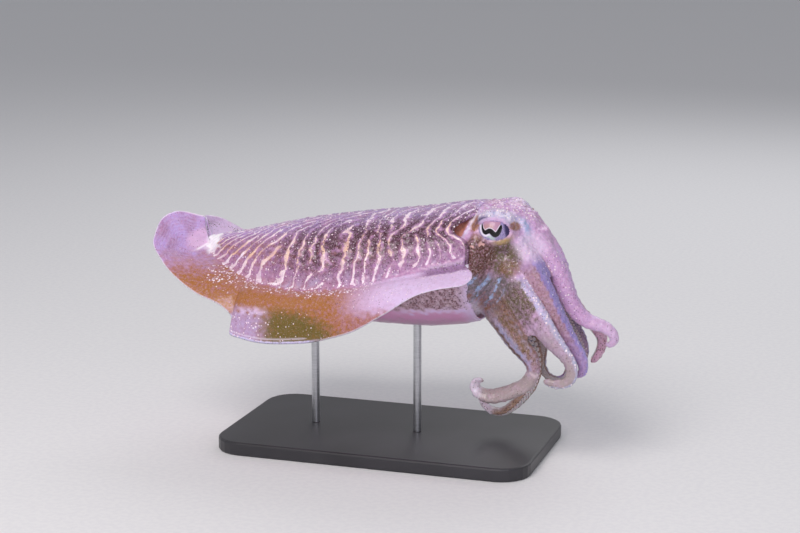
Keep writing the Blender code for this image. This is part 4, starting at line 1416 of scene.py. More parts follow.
@dataclass(frozen=True)
class EyeBall:
    """An eyeball with its W-shaped pupil, drawn by the distance from a bent line."""

    seat: EyeSeat
    # The pupil's line, forwards and upwards in millimetres, with its half width
    pupil: tuple[tuple[float, float, float], ...] = (
        (-8.5, 3.6, 0.35), (-8.1, 1.8, 0.6), (-7.4, -0.2, 0.9), (-6.3, -1.9, 1.15), (-5.1, -2.6, 1.3),
        (-3.8, -1.9, 1.4), (-2.5, -1.2, 1.5), (-1.2, -1.5, 1.55), (0.0, -2.6, 1.6), (1.2, -3.5, 1.6),
        (2.2, -3.7, 1.55), (3.3, -3.0, 1.45), (4.2, -1.6, 1.35), (4.9, 0.2, 1.2), (5.3, 1.8, 0.95),
        (5.5, 2.9, 0.6),
    )

    def masks(self, u: Array, v: Array) -> Masks:
        """The iris and pupil at places ahead and above the middle, in millimetres.

        Args:
            u: places towards the head's front.
            v: places upwards.

        Returns:
            One value a place for each colour of the eye.
        """
        line = np.array(self.pupil)
        fine = np.linspace(0, len(line) - 1, 160)
        steps = np.arange(len(line))
        curve = np.stack([np.interp(fine, steps, line[:, k]) for k in range(3)], axis=1)
        for _ in range(10):
            curve[1:-1] = (curve[2:] + curve[:-2] + 2 * curve[1:-1]) / 4
        away = np.full(u.shape, 99.0)
        above = np.zeros(u.shape)
        for x, y, half in curve:
            here = np.hypot(u - x, v - y) - 1.12 * half
            above = np.where(here < away, v - y, above)
            away = np.minimum(here, away)
        over = rise(above, -0.2, 0.6) * rise(u, -7.8, -6.8) * fall(u, 4.4, 5.2)
        under = (1 - over) * fall(v, 1.5, 3.5)
        lid = over * fall(v, 5.0, 6.2)
        upper_rim = hump(away, 0.25, 0.28) * over
        lower_rim = rise(away, -0.1, 0.15) * fall(away, 1.1, 1.6) * (1 - over)
        lower_rim = lower_rim * fall(u, -3.0, -0.5)
        band = rise(away, 0.0, 0.5) * fall(away, 1.9, 2.6) * under
        return {
            "pupil": fall(away, -0.12, 0.12),
            "pale": np.clip(np.maximum(upper_rim, 0.95 * lower_rim * fall(v, 2.5, 4.5)), 0, 1),
            "tan": lid * patch(u, v, (-3.5, 1.0), (4.0, 2.6)),
            "fold": lid,
            "green": band * rise(u, -5.0, -3.0) * fall(u, 0.5, 3.0),
            "indigo": np.clip(
                rise(u + 0.25 * v, 7.0, 9.0) * 0.95
                + hump(np.hypot(u + 1.5, v + 1.0), 9.3, 1.3) * rise(v, 2.0, 5.0) * fall(u, 0.0, 5.0),
                0, 1,
            ),
        }

    def build(self, finish: bpy.types.Material) -> None:
        """Makes the ball, with fine rings over the iris, and puts it in place of its node.

        Args:
            finish: the eye's material.
        """
        rings = np.concatenate([np.linspace(0.01, 1.25, 110), np.linspace(1.3, math.pi - 0.05, 18)])
        radius = self.seat.radius
        points = self.seat.ball((radius, radius, radius), rings, 220)
        u, v, out = self.seat.local(points.reshape(-1, 3))
        masks = {
            key: (value * (out > 0)).reshape(points.shape[:2]) for key, value in self.masks(u, v).items()
        }
        shell = stacked(points, masks)
        shell.raised(0.4 * shell.masks["fold"] - 0.3 * shell.masks["pupil"])
        name = f"eye_{self.seat.side.name.lower()}"
        show(name + "_ball", shell.mesh(name), finish, Slot.EYE, name)


@dataclass(frozen=True)
class Head:
    """The head with its brows, lids and lips and the eight arms, as one skin."""

    arms: tuple[Arm, ...]
    webs: tuple[Web, ...]
    seats: tuple[EyeSeat, ...]
    # Sections from the neck to the arm crown: centre, lean, half width, and reach up and down
    sections: tuple[tuple[float, ...], ...] = (
        (-8.7, 2.0, 0.0, 42.0, 37.5, 33.0),
        (4.0, 2.0, 2.0, 43.0, 39.0, 37.5),
        (11.0, 1.8, 4.0, 44.2, 42.0, 39.5),
        (14.8, 1.5, 6.0, 44.6, 43.0, 40.0),
        (19.0, 0.5, 10.0, 42.0, 45.0, 38.0),
        (24.0, -1.0, 14.5, 37.0, 47.0, 35.5),
        (30.0, -4.0, 24.0, 31.5, 45.5, 34.0),
        (36.5, -8.0, 33.0, 28.0, 40.5, 32.5),
        (42.0, -12.0, 38.0, 23.0, 32.5, 28.5),
        (45.0, -14.5, 38.0, 14.0, 18.5, 17.0),
    )
    squareness: float = 2.35
    brow: tuple[float, float, float] = (16.2, 15.6, 15.6)
    mouth: tuple[float, float, float] = (45.0, 0.0, -14.5)
    lip_ring: float = 7.0
    lip_radius: float = 2.4
    voxel: float = 0.85
    # Places ahead and to the left, heights and widths of the papillae on the crown
    papillae: tuple[tuple[float, float, float, float], ...] = (
        (29.0, -2.0, 1.9, 1.3), (22.0, -10.0, 0.9, 1.5), (35.0, -12.0, 0.9, 1.4), (24.0, 9.0, 0.9, 1.5),
        (36.0, 10.0, 0.8, 1.4), (15.0, -15.0, 0.7, 1.4), (16.0, 14.0, 0.7, 1.4), (41.0, -3.0, 0.8, 1.5),
    )

    def skull(self) -> Shell:
        """The head without eyes and arms: leaning sections, squarer below than above.

        Returns:
            One closed shell.
        """
        keys = np.array(self.sections)
        share, angle = np.meshgrid(
            np.linspace(0, 1, 90), turns(120), indexing="ij"
        )
        steps = np.linspace(0.0, 1.0, len(keys))
        x, z, lean, half, up, down = (smooth_through(steps, keys[:, k], share) for k in range(6))
        lean = np.radians(lean)
        above = np.cos(angle) >= 0
        power = 2.0 / np.where(above, 2.35 - 0.35 * rise(x, 10, 24), self.squareness)
        height = np.where(above, up, down) * np.sign(np.cos(angle)) * np.abs(np.cos(angle)) ** power
        across = half * np.sign(np.sin(angle)) * np.abs(np.sin(angle)) ** power
        # Under the pockets the neck is drawn in a little, and below it a groove holds the funnel
        aside = np.abs(np.angle(np.exp(1j * angle)))
        pit = 1 - 0.09 * hump(aside, math.radians(50), math.radians(14)) * fall(x, 9, 14)
        height, across = height * pit, across * pit
        height += 5.5 * hump(aside, math.pi, 0.22) * fall(x, 26, 36)
        rings = np.stack([x + height * np.sin(lean), across, z + height * np.cos(lean)], axis=-1)
        return stacked(rings, {})

    def lips(self) -> Shell:
        """A ring of lips round the mouth, finely puckered.

        Returns:
            One closed shell.
        """
        lean = math.radians(self.sections[-1][2])
        out = np.array([math.cos(lean), 0.0, -math.sin(lean)])
        side = np.array([0.0, 1.0, 0.0])
        around, roll = np.meshgrid(
            turns(72),
            turns(18),
            indexing="ij",
        )
        thick = self.lip_radius * (1 + 0.06 * np.cos(24 * around))
        reach = self.lip_ring + np.cos(roll) * thick
        way = np.cos(around)[..., None] * side + np.sin(around)[..., None] * np.cross(out, side)
        middle = np.array(self.mouth) + out * 0.6
        return hoop(middle + way * reach[..., None] + out * (np.sin(roll) * thick)[..., None])

    def fused(self) -> Shell:
        """Every form of the head and arms as one skin, by filling space with small cubes.

        Returns:
            One closed shell.
        """
        rings = np.linspace(0.03, math.pi - 0.03, 60)
        brows = [stacked(seat.ball(self.brow, rings, 80), {}) for seat in self.seats]
        parts = [self.skull(), *brows, *(seat.lids() for seat in self.seats), self.lips()]
        whole = gathered([*parts, *(form.shell() for form in (*self.arms, *self.webs))])
        rough = bpy.data.objects.new("rough", whole.mesh("rough"))
        bpy.context.scene.collection.objects.link(rough)
        remesh = rough.modifiers.new("Fused", "REMESH")
        remesh.mode = "VOXEL"
        remesh.voxel_size = self.voxel * MM
        graph = bpy.context.evaluated_depsgraph_get()
        fused = bpy.data.meshes.new_from_object(rough.evaluated_get(graph))
        co = np.zeros(len(fused.vertices) * 3, np.float32)
        fused.vertices.foreach_get("co", co)
        corners = np.zeros(len(fused.loops), np.int32)
        fused.loops.foreach_get("vertex_index", corners)
        total = np.zeros(len(fused.polygons), np.int32)
        fused.polygons.foreach_get("loop_total", total)
        start = np.zeros(len(fused.polygons), np.int32)
        fused.polygons.foreach_get("loop_start", start)
        faces = [
            corners[start[total == n][:, None] + np.arange(n)] for n in sorted(set(total.tolist()))
        ]
        bpy.data.objects.remove(rough)
        bpy.data.meshes.remove(fused)
        return Shell(co.reshape(-1, 3).astype(float) / MM - OVER_STAND, faces, {}).turned_out()

    def arm_places(self, points: Array) -> dict[str, Array]:
        """For each point the nearest arm and its place on it.

        Args:
            points: places in millimetres.

        Returns:
            The arm's number, the share of its length, the height over its centre line as a share of its
            half width, how far round to its inner face (1) and to its front edge (1).
        """
        best = {key: np.zeros(len(points)) for key in ("arm", "share", "off", "oral", "front")}
        best["off"][:] = 99.0
        share = np.linspace(-0.08, 1.0, 200)
        for index, arm in enumerate(self.arms):
            line = arm.centre(share)
            squared = (
                (points**2).sum(axis=1)[:, None] + (line**2).sum(axis=1)[None] - 2 * points @ line.T
            )
            half = arm.width(np.clip(share, 0, 1)) / 2
            nearest = np.argmin(squared / (half**2)[None] ** 0.5, axis=1)
            way, oral, sideways = arm.frame(share)
            off = points - line[nearest]
            slide = np.einsum("ij,ij->i", off, way[nearest])
            off = off - way[nearest] * slide[:, None]
            length = np.linalg.norm(off, axis=1)
            reach = length / half[nearest]
            closer = reach < best["off"]
            inner, front = (
                np.einsum("ij,ij->i", off, axis[nearest]) / np.maximum(length, 1e-6)
                for axis in (oral, sideways)
            )
            for key, value in (
                ("arm", np.full(len(points), float(index))),
                ("share", share[nearest] + slide / arm.length),
                ("off", reach),
                ("oral", inner),
                ("front", -arm.side.value * front),
            ):
                best[key] = np.where(closer, value, best[key])
        return best

    def round_eye(self, points: Array) -> tuple[Array, Array, Array]:
        """Each point's place by the eye of its side.

        Args:
            points: the surface.

        Returns:
            Millimetres ahead of the eye and above it, and the distance as a share of the lids' oval.
        """
        mirrored = points * np.where(points[:, 1:2] > 0, (1.0, -1.0, 1.0), 1.0)
        u, v, _ = self.seats[0].local(mirrored)
        return u, v, np.hypot(u / 14.5, (v - 0.5) / 10.0)

    def painted(self, points: Array, on: dict[str, Array]) -> Masks:
        """What the finish reads on the head and arms.

        Args:
            points: the surface.
            on: each point's place on its nearest arm.

        Returns:
            One value a point for each mask.
        """
        u, v, ellipse = self.round_eye(points)
        blotch, fleck, grain = (
            mottle(points, size, seed) for size, seed in ((12.0, 31), (4.5, 32), (2.6, 33))
        )
        share, front, oral = on["share"], on["front"], on["oral"]
        arm = rise(share, 0.03, 0.17) * fall(on["off"], 1.9, 2.4)
        head = 1 - arm
        nearest = on["arm"].astype(int)
        rank, sign = (
            np.array(values)[nearest]
            for values in ([a.rank for a in self.arms], [a.side.value for a in self.arms])
        )
        first, second, third, fourth = (arm * (rank == k) for k in (1, 2, 3, 4))
        outer = rise(-oral, -0.5, 0.1)
        side_face = rise(np.abs(points[:, 1]), 8.0, 18.0) * head

        # Round the eye
        turn = np.arctan2(v, u)
        ring = hump(ellipse, 1.10, 0.30)
        rear_corner = patch(u, v, (-14.5, 4.5), (3.6, 6.5))
        tawny = head * np.maximum(rear_corner, patch(u, v, (14.0, 4.4), (2.8, 3.4)))
        above_eye = ring * rise(np.sin(turn), 0.05, 0.5) * (1 - tawny)
        dark_arc = hump(ellipse, 0.93, 0.12) * (hump(turn, 2.5, 0.45) + 0.5 * hump(turn, 0.3, 0.3))
        # The side of the head: the pocket's rim behind, cheek and jaw, and the streaked lower part
        rear_rim = -20.5 + 0.4 * v
        # The pocket: painted shade, the brown-orange of the shadowed gap where the neck goes into the
        # mantle; it is kept free of specks and dots
        pocket = side_face * fall(u - rear_rim, -1.0, 0.8)
        pocket = pocket * rise(v, -10.0, -6.0) * fall(v, 16, 22)
        pale_rim = side_face * hump(u - rear_rim, 1.6, 1.1) * rise(v, -9.0, -4.0) * fall(v, 11, 16)
        cheek = side_face * patch(u + 1.5 * blotch, v, (-10.0, -20.0), (10.5, 15.0)) * (1 - pocket)
        jaw = side_face * patch(u, v + 1.5 * blotch, (9.0, -19.5), (12.0, 13.5))
        lower = side_face * rise(-v + 2 * blotch, 29.0, 35.0)
        slant = u * 0.85 - v * 0.52 + 1.2 * blotch + 0.8 * fleck
        streak = rise(np.cos(slant * 2 * math.pi / 7.5), 0.3, 0.8)
        streak = streak * rise(0.5 + 0.6 * grain + 0.4 * fleck, 0.1, 0.6)
        streaks = lower * streak * fall(-v, 46.0, 52.0) * fall(u, 5.0, 12.0)
        patches = lower * rise(-v + 3 * fleck, 42.0, 50.0) * np.clip(0.6 + 0.7 * fleck, 0, 1)
        top = head * rise(v, 6.0, 16.0)
        spot = side_face * patch(u + grain, v + fleck, (-21.0, -17.5), (3.0, 4.0))

        # The arms: bands, keels and edges, and the left arms' inner faces
        fade = fall(share + 0.04 * fleck, 0.24, 0.46)
        bands = 0.5 + 0.5 * np.cos(np.arcsin(np.clip(front, -1, 1)) * 4.0 + 1.2 + 0.5 * fleck)
        near_fourth = fourth * fall(share, 0.36, 0.56)
        keel = rise(front + 0.03 * fleck, 0.90, 0.98)
        left = arm * (sign > 0)
        tan = left * (rank == 1) * rise(share, 0.45, 0.6)
        left = left * rise(oral, -0.5, 0.1)
        back_edge = rise(-front + 0.08 * fleck, 0.72, 0.95)
        rear_third = third * fade * outer * (1 - keel)
        rear_second = second * fall(front + 0.12 * fleck, 0.05, 0.4)
        rear_second = rear_second * (1 - 0.6 * rise(share, 0.5, 0.8))
        threads = 0.5 + 0.5 * np.cos((front * 3.2 + 0.5 * fleck + 0.25 * grain) * math.pi)
        # Painted shade: brown and orange in the creases where neighbouring arms meet near the crown
        between = rise(on["off"], 1.12, 1.35) * rise(share, 0.02, 0.1) * fall(share, 0.3, 0.5)

        # Each wash is the sum of the places that carry it
        brown = 0.95 * cheek + 0.35 * rear_third * (0.4 + 0.6 * threads) + 0.3 * jaw + 0.4 * lower
        # 0.2 * between is painted shade in the creases between the arms
        brown += 0.25 * near_fourth * bands + 0.08 * top + 0.2 * between + 0.4 * rear_second
        brown += 0.2 * left * (1 - tan) * ((rank < 4) + rise(blotch, 0.0, 0.6))
        olive = 0.9 * jaw + 0.8 * lower * (1 - patches) + 0.85 * rear_third + 0.9 * near_fourth * bands
        olive += 0.5 * left * (rank >= 3)
        orange = 1.4 * tawny + 0.8 * patches + 0.4 * near_fourth * rise(bands, 0.3, 0.75)
        orange += 0.35 * rear_second + 0.45 * cheek + 0.45 * left * (1 - tan) + 0.22 * tan
        # 0.35 * between is painted shade in the creases between the arms
        orange += 0.35 * side_face * patch(u + fleck, v, (13.0, -25.5), (8.0, 6.0)) + 0.35 * between
        orange += 0.4 * head * patch(u, v, (-11.0, -5.5), (5.0, 3.5)) + 0.3 * top * rise(grain, 0.3, 0.8)
        yellow = head * hump(ellipse, 0.99, 0.13) * hump(turn, -0.85, 0.6)
        blue = 0.6 * above_eye + streaks + 0.8 * spot
        blue += 0.9 * head * hump(ellipse, 1.5, 0.2) * hump(turn, 0.25, 0.4)
        blue += 0.2 * second * rise(front + 0.1 * fleck, 0.2, 0.6) * (1 - 0.5 * left) + 0.5 * third * keel
        blue += 0.5 * near_fourth * (1 - bands) * rise(share, 0.1, 0.2) + 0.15 * lower * (1 - patches)
        lavender = 0.2 * top + 0.3 * first * (1 - tan) + 1.2 * second * (1 - rear_second)
        lavender += 0.2 * third * rise(share, 0.30, 0.55) + 0.5 * pale_rim
        pink = 0.3 * first * fall(front, -0.4, 0.3) + 0.5 * tan
        pink += 0.3 * top * rise(blotch, 0.0, 0.6)
        pale = 0.9 * above_eye * np.clip(0.7 + 0.5 * fleck, 0, 1) + 0.7 * pale_rim
        # On arm III's keel this pale is its own colour; along arm I's front edge it is a painted highlight
        pale += 0.2 * third * keel + 0.75 * first * rise(front, 0.6, 0.95) * (1 - tan)
        pale += 0.6 * fourth * back_edge * fall(share, 0.3, 0.42)
        pale += 0.3 * first * rise(share, 0.6, 0.9) * (1 - left) * (1 - tan)
        pale += 0.5 * side_face * patch(u + fleck, v, (28.0, -9.0), (13.0, 12.0))
        pale += 0.6 * fall(points[:, 0] + fleck, 15, 20) * rise(-points[:, 2] + fleck, 18, 26)
        grey = 1.2 * fourth * rise(share, 0.42, 0.58) + 0.5 * near_fourth * (1 - bands)
        grey += 0.6 * left * (rank >= 3)
        grey += 0.65 * third * rise(share, 0.3, 0.5) + 0.3 * third * rise(share, 0.6, 0.8)
        cream = arm * rise(oral, 0.2, 0.7) * (1 - 0.7 * left) * (1 - tan)
        cream += head * rise(-points[:, 2], 26.0, 34.0) * (1 - side_face)
        # The speck mask also places the painted glints of highlight
        spots = 0.5 * arm * outer + 0.75 * cheek + 0.6 * jaw + 0.45 * top + 0.6 * lower + 0.35 * rear_third
        spots += 0.6 * left + 0.3 * near_fourth * bands + 0.3 * above_eye + 0.5 * tan
        dots = 0.8 * top + 0.45 * cheek * rise(fleck, 0.0, 0.5) + 0.9 * third * keel
        dots += 0.5 * first * fall(share, 0.4, 0.8) + 0.4 * second * rise(front, 0.2, 0.7)
        dots += 0.35 * side_face * rise(u, 12, 20) + 0.6 * above_eye
        squiggle = side_face * patch(u, v, (-9.0, -11.0), (9.0, 5.0))
        squiggle = squiggle * rise(mottle(points, 3.6, 34), 0.2, 0.7)
        dark = dark_arc + 0.3 * second * (1 - rear_second) * fall(share, 0.5, 0.9)
        names = {
            "brown": brown, "olive": olive, "orange": orange, "yellow": yellow, "pink": pink,
            "blue": blue, "lavender": lavender, "grey": grey, "cream": cream, "pale": pale, "dark": dark,
            "pocket": pocket, "speck": spots * (1 - pocket), "dot": dots * (1 - pocket),
            "warm": np.ones(len(u)),
        }
        masks = {key: np.clip(value, 0, 1) for key, value in names.items()}
        return {"stripe": 2.0 * squiggle - 1.0, **masks}

    def build(self, finish: bpy.types.Material) -> None:
        """Fuses, smooths and paints the skin, and puts it in place of the head's and the arms' nodes.

        Args:
            finish: the skin's material.
        """
        shell = self.fused()
        on = self.arm_places(shell.points)
        crown = hump(on["share"], 0.08, 0.16) * fall(on["off"], 2.2, 3.0)
        web = rise(on["off"], 1.02, 1.2) * rise(on["share"], 0.0, 0.1) * fall(on["share"], 0.5, 0.6)
        shell.relaxed(np.full(len(shell.points), 0.5), 4)
        shell.relaxed(0.6 * np.maximum(crown, web), 16)
        for seat in self.seats:
            oval, out = seat.opening(shell.points)
            sunk = (oval < 1.0) & (out > 4.0)
            off = shell.points - seat.centre()
            inward = seat.centre() + unit(off) * (seat.radius - 1.8)
            shell.points = np.where(sunk[:, None], inward, shell.points)
        shell.masks = self.painted(shell.points, on)
        still = np.ones(len(shell.points))
        for seat in self.seats:
            oval, out = seat.opening(shell.points)
            still *= np.where(out > 0, rise(oval, 1.0, 1.35), 1.0)
        px, py, pz = shell.points.T
        upper = rise(pz, 18, 30)
        coarse, middle, fine = (
            mottle(shell.points, size, seed) for size, seed in ((6.0, 43), (3.6, 41), (2.2, 42))
        )
        height = still * ((0.2 + 0.15 * upper) * middle + 0.15 * fine + 0.3 * upper * coarse)
        notch = hump(np.hypot(px - 38, pz - 18), 21.0, 2.6) * hump(py, 0.0, 22.0)
        height -= 1.3 * notch * rise(px, 50, 54) * rise(pz, 26, 29)
        u, v, ellipse = self.round_eye(shell.points)
        ridge = hump(ellipse, 1.42, 0.13) * hump(np.arctan2(v, u), 0.7, 1.3)
        height += 1.1 * ridge * (np.abs(py) > 8)
        for x, y, tall, wide in self.papillae:
            height += tall * hump(np.hypot(px - x, py - y), 0.0, wide) * (pz > 20)
        shell.raised(height)
        nodes = ["head"] + [node for arm in self.arms for node in arm.nodes()]
        show("head_skin", shell.mesh("head_skin"), finish, Slot.HEAD, *nodes)


@dataclass(frozen=True)
class Suckers:
    """The suckers: short cups in four staggered rows down each arm's inner face, smaller to the tip."""

    arms: tuple[Arm, ...]
    rows: tuple[float, ...] = (-0.48, -0.16, 0.16, 0.48)
    start: float = 0.13
    end: float = 0.975
    radius_share: float = 0.085
    least: float = 0.34
    sides: int = 8
    # The cup's profile, as radius and height over its foot in radii
    profile: tuple[tuple[float, float], ...] = (
        (0.75, -1.0), (0.82, 0.2), (1.0, 0.75), (0.72, 0.86), (0.45, 0.3),
    )

    def places(self, arm: Arm) -> tuple[Array, Array]:
        """Where the suckers sit, closer together as the arm narrows.

        Args:
            arm: the arm that carries them.

        Returns:
            Each one's share of the arm's length, and its place across.
        """
        shares, across = [], []
        share, count = self.start, 0
        while share < self.end:
            for row in self.rows[count % 2 :: 2]:
                shares.append(share)
                across.append(row)
            radius = max(self.radius_share * float(arm.width(np.array(share))), self.least)
            share += radius * 1.25 / arm.length
            count += 1
        return np.array(shares), np.array(across)

    def cups(self, arm: Arm) -> tuple[Array, Array]:
        """Every cup on an arm: the profile turned round the cup's own axis.

        Args:
            arm: the arm that carries them.

        Returns:
            Points of shape (cups, rings, sides, 3), and how much each belongs to the cup's rim.
        """
        share, across = self.places(arm)
        half = arm.width(share) / 2
        radius = np.maximum(self.radius_share * 2 * half, self.least)
        lean = np.arcsin(across)
        foot = arm.skin(share, lean, np.ones(len(share)))
        way, oral, sideways = arm.frame(share)
        up = unit(oral + sideways * (0.45 * across)[:, None])
        level = unit(np.cross(up, way))
        turn = turns(self.sides)
        profile = np.array(self.profile)
        ring = (
            np.cos(turn)[None, :, None] * level[:, None, None, :]
            + np.sin(turn)[None, :, None] * np.cross(up, level)[:, None, None, :]
        )
        rings = foot[:, None, None] + radius[:, None, None, None] * (
            profile[None, :, 0, None, None] * ring + profile[None, :, 1, None, None] * up[:, None, None, :]
        )
        rim = np.broadcast_to(
            np.array([0.0, 0.2, 1.0, 1.0, 0.0])[None, :, None], rings.shape[:3]
        )
        return rings, rim

    def build(self, finish: bpy.types.Material) -> None:
        """Makes every cup on both sides; they stand for the small cups of the arms' nodes.

        Args:
            finish: the suckers' material.
        """
        faces = ring_faces(len(self.profile), self.sides)
        for side in Side:
            points, rims = [], []
            for arm in self.arms:
                if arm.side is side:
                    rings, rim = self.cups(arm)
                    count = len(rings)
                    flat = rings.reshape(count, -1, 3)
                    first, last = rings[:, 0].mean(axis=1), rings[:, -1].mean(axis=1)
                    points.append(np.concatenate([first[:, None], flat, last[:, None]], axis=1))
                    edge = rim.reshape(count, -1)
                    rims.append(np.concatenate([0 * edge[:, :1], edge, 0 * edge[:, :1]], axis=1))
            points, rims = np.concatenate(points), np.concatenate(rims)
            start = (np.arange(len(points)) * points.shape[1])[:, None, None]
            every = [(start + part[None]).reshape(-1, part.shape[1]) for part in faces]
            shell = Shell(points.reshape(-1, 3), every, {"rim": rims.ravel()}).turned_out()
            name = f"suckers_{side.name.lower()}"
            nodes = [node for arm in self.arms if arm.side is side for node in arm.nodes()]
            show(name, shell.mesh(name), finish, Slot.ARM, *nodes)


@dataclass(frozen=True)
class SuckerSkin:
    """The suckers' soft pale flesh: milky, wet, with a paler rim round a tan cup."""

    name: str = "sucker_flesh"
    cup: str = "b58f86"
    rim: str = "efe2e6"

    def make(self) -> bpy.types.Material:
        """Builds the material.

        Returns:
            The new material.
        """
        made, tree, shader, place = blank(self.name)
        mask = add(tree, "ShaderNodeAttribute", {}, "Fac", attribute_name="rim")
        links = {"Vector": place, "Scale": 1 / (6 * MM), "Detail": 2.0}
        links = {0: add(tree, "ShaderNodeTexNoise", links, "Fac"), 1: 0.8, 2: mask}
        share = add(tree, "ShaderNodeMath", links, operation="MULTIPLY_ADD", use_clamp=True)
        links = {0: share, 6: linear(self.cup), 7: linear(self.rim)}
        colour = add(tree, "ShaderNodeMix", links, 2, data_type="RGBA")
        milky = {"Roughness": 0.35, "Subsurface Weight": 0.2, "Subsurface Scale": 1.5 * MM}
        connect(shader, {"Base Color": colour, **milky})
        return made


@dataclass(frozen=True)
class Funnel:
    """The funnel: a soft tapering tube in a groove under the head, with a short open bore."""

    start: tuple[float, float, float] = (-8.7, 0.0, -29.0)
    end: tuple[float, float, float] = (24.0, 0.0, -33.5)
    start_radius: float = 7.2
    end_radius: float = 5.2
    flatness: float = 1.15
    # Profile: share of the length and share of the radius, out to the mouth and back down the bore
    profile: tuple[tuple[float, float], ...] = (
        (0.0, 0.2), (0.0, 0.6), (0.0, 0.97), (0.02, 1.0), (0.2, 1.0), (0.4, 1.01), (0.6, 1.0), (0.8, 1.0),
        (0.93, 1.0), (0.985, 0.97), (1.0, 0.88), (0.995, 0.74), (0.97, 0.64), (0.9, 0.58), (0.8, 0.54),
        (0.73, 0.5), (0.72, 0.25),
    )

    def build(self, finish: bpy.types.Material) -> None:
        """Makes the tube and puts it in place of its node.

        Args:
            finish: the head skin's material.
        """
        start, end = np.array(self.start), np.array(self.end)
        way = unit(end - start)
        above = np.cross(way, np.array([0.0, 1.0, 0.0]))
        table = np.array(self.profile)
        steps = np.arange(len(table))
        fine = np.linspace(0, len(table) - 1, 96)
        along, reach = (np.interp(fine, steps, table[:, k]) for k in range(2))
        turn = turns(64)
        radius = (self.start_radius + (self.end_radius - self.start_radius) * along) * reach
        pucker = 1 + 0.02 * np.cos(9 * turn)[None] * rise(along, 0.6, 1.0)[:, None]
        ring = (
            np.cos(turn)[None, :, None] * np.array([0.0, self.flatness, 0.0])
            + np.sin(turn)[None, :, None] * above
        )
        points = start + way * (along * np.linalg.norm(end - start))[:, None, None]
        points = points + ring * (radius[:, None] * pucker)[..., None]
        plain = np.ones(points.shape[:2])
        masks = {
            "cream": 0.9 * plain,
            "pink": 0.4 * rise(along, 0.3, 0.9)[:, None] * plain,
            "pale": hump(along, 1.0, 0.05)[:, None] * plain,
            "speck": 0.35 * rise(above[2] * np.sin(turn), -1.0, 0.4)[None] * plain,
            "stripe": -plain,
        }
        show("funnel_skin", stacked(points, masks).mesh("funnel"), finish, Slot.HEAD, "funnel")


@dataclass(frozen=True)
class Beak:
    """The beak's blunt point between the lips: a ball narrowed to its tip, with a low keel."""

    centre: tuple[float, float, float] = (45.0, 0.0, -14.5)
    lean: float = math.radians(38)
    radii: tuple[float, float, float] = (3.6, 4.2, 4.2)
    stand_out: float = 1.2

    def build(self, finish: bpy.types.Material) -> None:
        """Makes the beak and puts it in place of its node.

        Args:
            finish: the horn.
        """
        out = np.array([math.cos(self.lean), 0.0, -math.sin(self.lean)])
        side = np.array([0.0, 1.0, 0.0])
        rings = np.linspace(0.03, math.pi - 0.03, 40)
        columns = turns(48)
        off, turn = np.meshgrid(rings, columns, indexing="ij")
        z = np.cos(off)
        sharp = 1 - 0.35 * np.maximum(z, 0)
        keel = 1 + 0.04 * hump(np.cos(turn), 0.0, 0.25) * rise(z, -0.2, 0.8)
        u = self.radii[0] * np.sin(off) * np.cos(turn) * sharp
        v = self.radii[1] * np.sin(off) * np.sin(turn) * keel
        points = (
            np.array(self.centre)
            + out * (self.stand_out + self.radii[2] * z)[..., None]
            + side * v[..., None]
            + np.cross(out, side) * u[..., None]
        )
        show("beak_horn", stacked(points, {}).mesh("beak"), finish, Slot.BEAK, "beak")


# Studio


